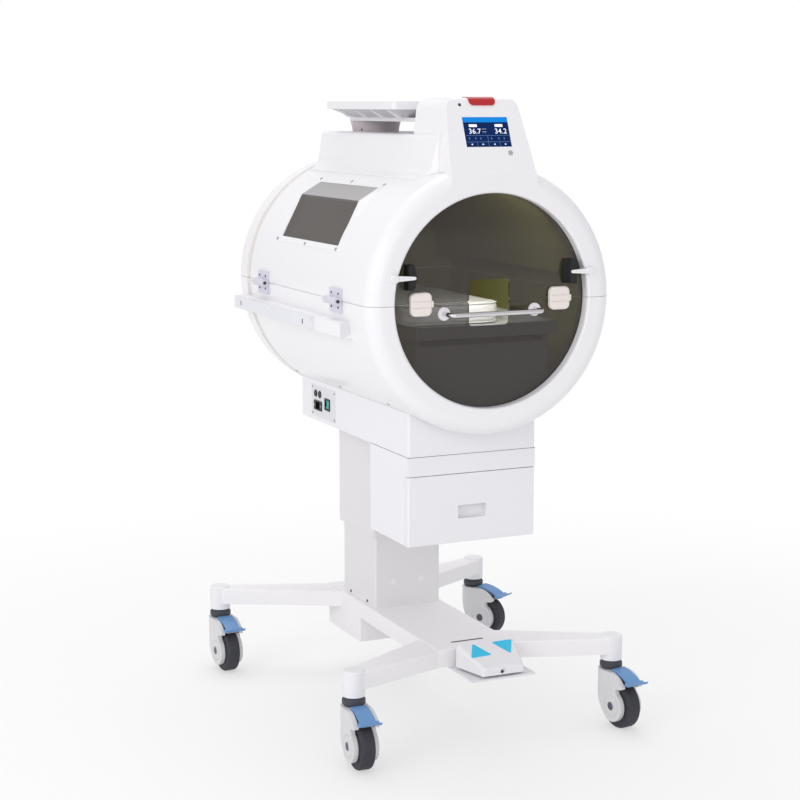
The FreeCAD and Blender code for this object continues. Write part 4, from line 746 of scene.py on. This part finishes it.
def housing_gap_shade():
    """Dark strip of painted shade in the gap between the housing and the cabinet under it."""
    proud = 0.15
    deep = 1.0
    low_z = housing_low_z - 0.5
    high_z = housing_low_z + 0.5
    outer_x = body_half_w + proud
    corner_y = housing_front_y + deep

    def build(working):
        add_block(working, -outer_x, outer_x, housing_front_y - proud, corner_y, low_z, high_z)
        for side in SIDES:
            x0, x1 = sorted((side * (body_half_w - deep), side * outer_x))
            add_block(working, x0, x1, corner_y, cabinet_back_y, low_z, high_z)
    new_piece("housing_gap_shade", build, "carriage", "gap_shade", smooth=False)


def tray_seal():
    """Thin seal strip between the tray's front edge and the window that it carries."""
    low, high = (from_place(corner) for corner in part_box("bed_tray"))
    proud = 0.06
    deep = 0.5
    margin = 0.3

    def build(working):
        add_block(working, low.x + margin, high.x - margin, low.y - proud, low.y + deep,
                  low.z + margin, high.z - margin)
    new_piece("tray_seal", build, "bed", "tray", smooth=False)


# Tower front

lean = math.radians(22.5)
tower_face_z = 1165.0
screen_z = 1254.0
screen_w = 99.5
screen_h = 62.5
patch_thick = 0.12
screen_sunk = 0.28


def on_tower(u, v, proud=0.0, centre_z=screen_z):
    """Point on the tower's leaning face: u to the right, v up the slope from a height."""
    base = Vector((0, math.tan(lean) * (centre_z - tower_face_z), centre_z))
    up = Vector((0, math.sin(lean), math.cos(lean)))
    out = Vector((0, -math.cos(lean), math.sin(lean)))
    return base + Vector((u, 0, 0)) + up * v + out * proud


def add_patch(working, u0, u1, v0, v1):
    """Thin rectangle on the display; u and v are measured from its middle."""
    outline = ((u0, v0), (u1, v0), (u1, v1), (u0, v1))
    add_plate(working, [on_tower(u, v, -screen_sunk) for u, v in outline], patch_thick)


def glowing(name, build, look):
    """Piece of the display."""
    new_piece(name, build, "hood", look, smooth=False)


def display_patches():
    """Areas and lines of the display, as thin glowing plates."""
    right = screen_w / 2
    top = screen_h / 2
    middle_v = top - 38.5
    lower_v = top - 52.0
    line_half = 0.35

    def bar(working):
        bar_h = 10.8
        add_patch(working, -right, right, top - bar_h, top)

    def boxes(working):
        box_w = 17.5
        box_low_v = top - 20.5
        box_high_v = top - 15.0
        for u in (-37.5, 19.5):
            add_patch(working, u, u + box_w, box_low_v, box_high_v)
        dash_w = 1.5
        dash_h = 0.9
        dash_pitch = 3.2
        for v in (top - 24.5, top - 30.5):
            for number in range(3):
                u = -9.5 + number * dash_pitch
                add_patch(working, u, u + dash_w, v - dash_h, v)

    def lines(working):
        for v in (middle_v, lower_v):
            add_patch(working, -right + 2, right - 2, v - line_half, v + line_half)
        add_patch(working, -0.4, 0.4, -top + 1, middle_v)
        for u in (-25.0, 25.0):
            add_patch(working, u - line_half, u + line_half, -top + 1, lower_v)
        for plus_u in (-41, -27, -16, 8, 24, 36):
            add_patch(working, plus_u - 1.8, plus_u + 1.8, middle_v - 6.8, middle_v - 5.8)
            add_patch(working, plus_u - 0.5, plus_u + 0.5, middle_v - 9.0, middle_v - 3.6)

    def icons(working):
        v = -top + 5.4
        half_h = 1.8
        for u, way in ((-37.5, -1), (-12.5, 1), (12.5, -1), (37.5, 1)):
            back_u = u - half_h * way
            tip_u = u + 2.0 * way
            outline = [(back_u, v - half_h), (tip_u, v), (back_u, v + half_h)]
            if way < 0:
                outline.reverse()
            add_plate(working, [on_tower(a, b, -screen_sunk) for a, b in outline], patch_thick)

    glowing("display_bar", bar, "sky")
    glowing("display_boxes", boxes, "white_light")
    glowing("display_lines", lines, "faint_light")
    glowing("display_icons", icons, "white_light")


def display_numbers():
    """Two plain temperatures, as on any such display; sizes of the figures in metres."""
    figure_h = 0.0150
    thickness = 0.00006
    baseline_v = screen_h / 2 - 34.5
    turn = Matrix((
        (1, 0, 0),
        (0, math.sin(lean), -math.cos(lean)),
        (0, math.cos(lean), math.sin(lean)),
    ))
    for index, (text, u) in enumerate((("36.7", -40.0), ("34.2", 17.5))):
        curve = bpy.data.curves.new("display_number_%d" % (index + 1), "FONT")
        curve.body = text
        curve.size = figure_h
        curve.extrude = thickness
        curve.offset = thickness
        curve.space_character = 1.06
        piece = bpy.data.objects.new(curve.name, curve)
        bpy.context.collection.objects.link(piece)
        curve.materials.append(looks["white_light"])
        spot = on_tower(u, baseline_v, -0.2)
        piece.matrix_world = Matrix.Translation(place(*spot)) @ turn.to_4x4()
        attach(piece, "hood")


def tower_controls():
    """Sensor window and round button on the tower's face."""
    button_z = 1213.0
    sensor_z = 1307.0
    out = (0, -math.cos(lean), math.sin(lean))

    def button(working):
        add_disc(working, on_tower(44, 0, centre_z=button_z), out, radius=5.2, height=1.5, bevel=0.8)

    def sensor(working):
        add_disc(working, on_tower(-50, 0, centre_z=sensor_z), out, radius=3.4, height=0.5, bevel=0.3)

    new_piece("tower_button", button, "hood", "button")
    new_piece("tower_sensor", sensor, "hood", "collar")


# Foot pedal

pedal_back_y = 47.0
pedal_back_z = 206.0
pedal_front_y = -38.0
pedal_front_z = 176.0
arrow_round = 6.0
arrow_thick = 0.35


def on_pedal(x, y):
    """Point just above the pedal's sloping top."""
    slope = (pedal_back_z - pedal_front_z) / (pedal_back_y - pedal_front_y)
    return Vector((x, y, pedal_back_z + (y - pedal_back_y) * slope + 0.05))


def rounded_triangle(corners):
    """Outline on the pedal of a triangle with rounded corners, given in turning order."""
    steps = 4
    points = []
    flat = [Vector(corner) for corner in corners]
    for i, corner in enumerate(flat):
        back = (flat[i - 1] - corner).normalized() * arrow_round
        ahead = (flat[(i + 1) % 3] - corner).normalized() * arrow_round
        for step in range(steps + 1):
            share = step / steps
            spot = corner + back * (1 - share) ** 2 + ahead * share ** 2
            points.append(on_pedal(spot.x, spot.y))
    return points


def pedal_arrow(name, corners):
    """Printed triangle on the foot pedal."""
    def build(working):
        add_plate(working, rounded_triangle(corners), arrow_thick)
    new_piece(name, build, "foot_pedal", "arrow", smooth=False)


def pedal_arrows():
    """Triangle that points up for raising and one that points down for lowering."""
    pedal_arrow("pedal_arrow_up", [(-45, 1), (4, 3), (-21, 45)])
    pedal_arrow("pedal_arrow_down", [(21, 42), (45.5, -1), (70, 43)])


# Mattress

def mattress():
    """Crowned pad with rounded corners and piping, in the space of its CAD solid; in metres."""
    low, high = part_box("mattress")
    centre = (low + high) / 2
    room = 0.0015
    half = (high - low) / 2 - Vector((room, room, 0.0))
    corner = 0.03
    cuts = 23
    crown_share = 0.10
    waist_share = 0.035

    def inset(x, y):
        """Pulls a point of a square-cornered outline onto a round-cornered one."""
        over_x = abs(x) - (half.x - corner)
        over_y = abs(y) - (half.y - corner)
        if over_x > 0 and over_y > 0:
            reach = math.hypot(over_x, over_y)
            largest = max(over_x, over_y)
            scale = largest / reach if reach > 0 else 1
            x = math.copysign(half.x - corner + over_x * scale, x)
            y = math.copysign(half.y - corner + over_y * scale, y)
        return x, y

    def build(working):
        bmesh.ops.create_cube(working, size=2.0)
        bmesh.ops.subdivide_edges(working, edges=working.edges[:], cuts=cuts, use_grid_fill=True)
        for vertex in working.verts:
            u, v, w = vertex.co
            edge = max(abs(u), abs(v))
            crown = 1 - crown_share * edge ** 6
            side = 1 - waist_share * w ** 4
            x, y = inset(u * half.x * side, v * half.y * side)
            z = w * half.z * crown
            vertex.co = centre + Vector((x, y, z))
    pad = new_piece("mattress_pad", build, "bed", "mattress")
    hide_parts("mattress")
    piping(centre, half, corner)


def round_outline(half, corner):
    """Outline of a rectangle with round corners about its own middle."""
    steps = 8
    points = []
    for quarter, (sx, sy) in enumerate(((1, 1), (-1, 1), (-1, -1), (1, -1))):
        for step in range(steps + 1):
            angle = math.radians(90 * quarter + 90 * step / steps)
            points.append((sx * (half.x - corner) + corner * math.cos(angle),
                           sy * (half.y - corner) + corner * math.sin(angle)))
    return points


def piping(centre, half, corner):
    """Sewn cord round the mattress's top and bottom edges; in metres."""
    radius = 0.0016
    edge_level = 0.82
    inset_x = 0.985
    inset_y = 0.993
    points = round_outline(half, corner)
    for level, name in ((edge_level, "top"), (-edge_level, "bottom")):
        curve = bpy.data.curves.new("mattress_piping_" + name, "CURVE")
        curve.dimensions = "3D"
        curve.bevel_depth = radius
        curve.bevel_resolution = 3
        spline = curve.splines.new("POLY")
        spline.points.add(len(points) - 1)
        for point, (x, y) in zip(spline.points, points):
            point.co = (centre.x + x * inset_x, centre.y + y * inset_y, centre.z + half.z * level, 1)
        spline.use_cyclic_u = True
        piece = bpy.data.objects.new(curve.name, curve)
        bpy.context.collection.objects.link(piece)
        curve.materials.append(looks["mattress"])
        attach(piece, "bed")


# Stage

def backdrop_material(name, colour, white_share):
    """Pale diffuse surface; the camera and reflections see it lighter, and as white far out."""
    near_m = 0.5
    far_m = 2.2
    material, tree, shader = new_material(name)
    shader.inputs["Base Color"].default_value = colour
    shader.inputs["Roughness"].default_value = 0.9
    path = add(tree, "ShaderNodeLightPath")
    glow = add(tree, "ShaderNodeEmission")
    glow.inputs["Color"].default_value = (1, 1, 1, 1)
    seen = add(tree, "ShaderNodeMath", operation="MAXIMUM")
    tree.links.new(path.outputs["Is Camera Ray"], seen.inputs[0])
    tree.links.new(path.outputs["Is Glossy Ray"], seen.inputs[1])
    spot = add(tree, "ShaderNodeTexCoord")
    reach = add(tree, "ShaderNodeVectorMath", operation="LENGTH")
    tree.links.new(spot.outputs["Object"], reach.inputs[0])
    spread = add(tree, "ShaderNodeMapRange", interpolation_type="SMOOTHSTEP")
    spread.inputs["From Min"].default_value = near_m
    spread.inputs["From Max"].default_value = far_m
    spread.inputs["To Min"].default_value = white_share
    spread.inputs["To Max"].default_value = 1.0
    tree.links.new(reach.outputs["Value"], spread.inputs["Value"])
    share = add(tree, "ShaderNodeMath", operation="MULTIPLY")
    tree.links.new(spread.outputs["Result"], share.inputs[1])
    tree.links.new(seen.outputs["Value"], share.inputs[0])
    mix = add(tree, "ShaderNodeMixShader")
    tree.links.new(share.outputs["Value"], mix.inputs["Fac"])
    tree.links.new(shader.outputs["BSDF"], mix.inputs[1])
    tree.links.new(glow.outputs["Emission"], mix.inputs[2])
    tree.links.new(mix.outputs["Shader"], tree.nodes["Material Output"].inputs["Surface"])
    return material


def make_stage():
    """Wide pale floor; its size in metres."""
    mesh = bpy.data.meshes.new("floor")
    reach = 14.0
    corners = [(-reach, -reach, 0), (reach, -reach, 0), (reach, reach, 0), (-reach, reach, 0)]
    mesh.from_pydata([Vector(corner) for corner in corners], [], [(0, 1, 2, 3)])
    mesh.materials.append(backdrop_material("floor_paper", (0.88, 0.88, 0.88, 1), white_share=0.5))
    floor = bpy.data.objects.new("floor", mesh)
    bpy.context.collection.objects.link(floor)


def make_world():
    """Plain even light; the camera sees it, also through glass, as white."""
    world = bpy.data.worlds.new("studio")
    bpy.context.scene.world = world
    world.use_nodes = True
    tree = world.node_tree
    light = tree.nodes["Background"]
    light.inputs["Color"].default_value = (0.985, 0.98, 1.0, 1)
    light.inputs["Strength"].default_value = 0.73
    white = add(tree, "ShaderNodeBackground")
    white.inputs["Color"].default_value = (1, 1, 1, 1)
    white.inputs["Strength"].default_value = 1.0
    path = add(tree, "ShaderNodeLightPath")
    seen = add(tree, "ShaderNodeMath", operation="MAXIMUM")
    tree.links.new(path.outputs["Is Camera Ray"], seen.inputs[0])
    tree.links.new(path.outputs["Is Transmission Ray"], seen.inputs[1])
    mix = add(tree, "ShaderNodeMixShader")
    tree.links.new(seen.outputs["Value"], mix.inputs["Fac"])
    tree.links.new(light.outputs["Background"], mix.inputs[1])
    tree.links.new(white.outputs["Background"], mix.inputs[2])
    tree.links.new(mix.outputs["Shader"], tree.nodes["World Output"].inputs["Surface"])


def area_light(name, spot, size, power, target, seen=True):
    """Round soft lamp aimed at a target; places and size in metres, power in watts."""
    data = bpy.data.lights.new(name, "AREA")
    data.shape = "DISK"
    data.size = size
    data.energy = power
    lamp = bpy.data.objects.new(name, data)
    bpy.context.collection.objects.link(lamp)
    lamp.location = Vector(spot)
    aim = Vector(target) - lamp.location
    lamp.rotation_euler = aim.to_track_quat("-Z", "Y").to_euler()
    lamp.visible_camera = seen
    lamp.visible_glossy = seen


def make_lights():
    """Lamps at the left, in front, above and, faintly, inside the barrel."""
    middle = (0, 0, 0.8)
    area_light("key", (-3.8, -1.6, 2.3), size=2.6, power=41, target=middle)
    area_light("front", (-1.6, -4.2, 1.6), size=2.6, power=22, target=middle)
    area_light("top", (0.4, 1.2, 4.2), size=3.0, power=45, target=middle)
    area_light("inside", place(0, 60, 1060), size=0.22, power=1.0, target=place(0, 560, 1020), seen=False)


make_camera()
paint_nodes()
side_window_screws()
shell_screws()
hinge_screws()
panel_screws()
column_fasteners()
pedestal_screws()
pedal_screw()
housing_gap_shade()
tray_seal()
display_patches()
display_numbers()
tower_controls()
pedal_arrows()
mattress()
make_stage()
make_world()
make_lights()
bpy.context.scene.view_settings.view_transform = "Standard"
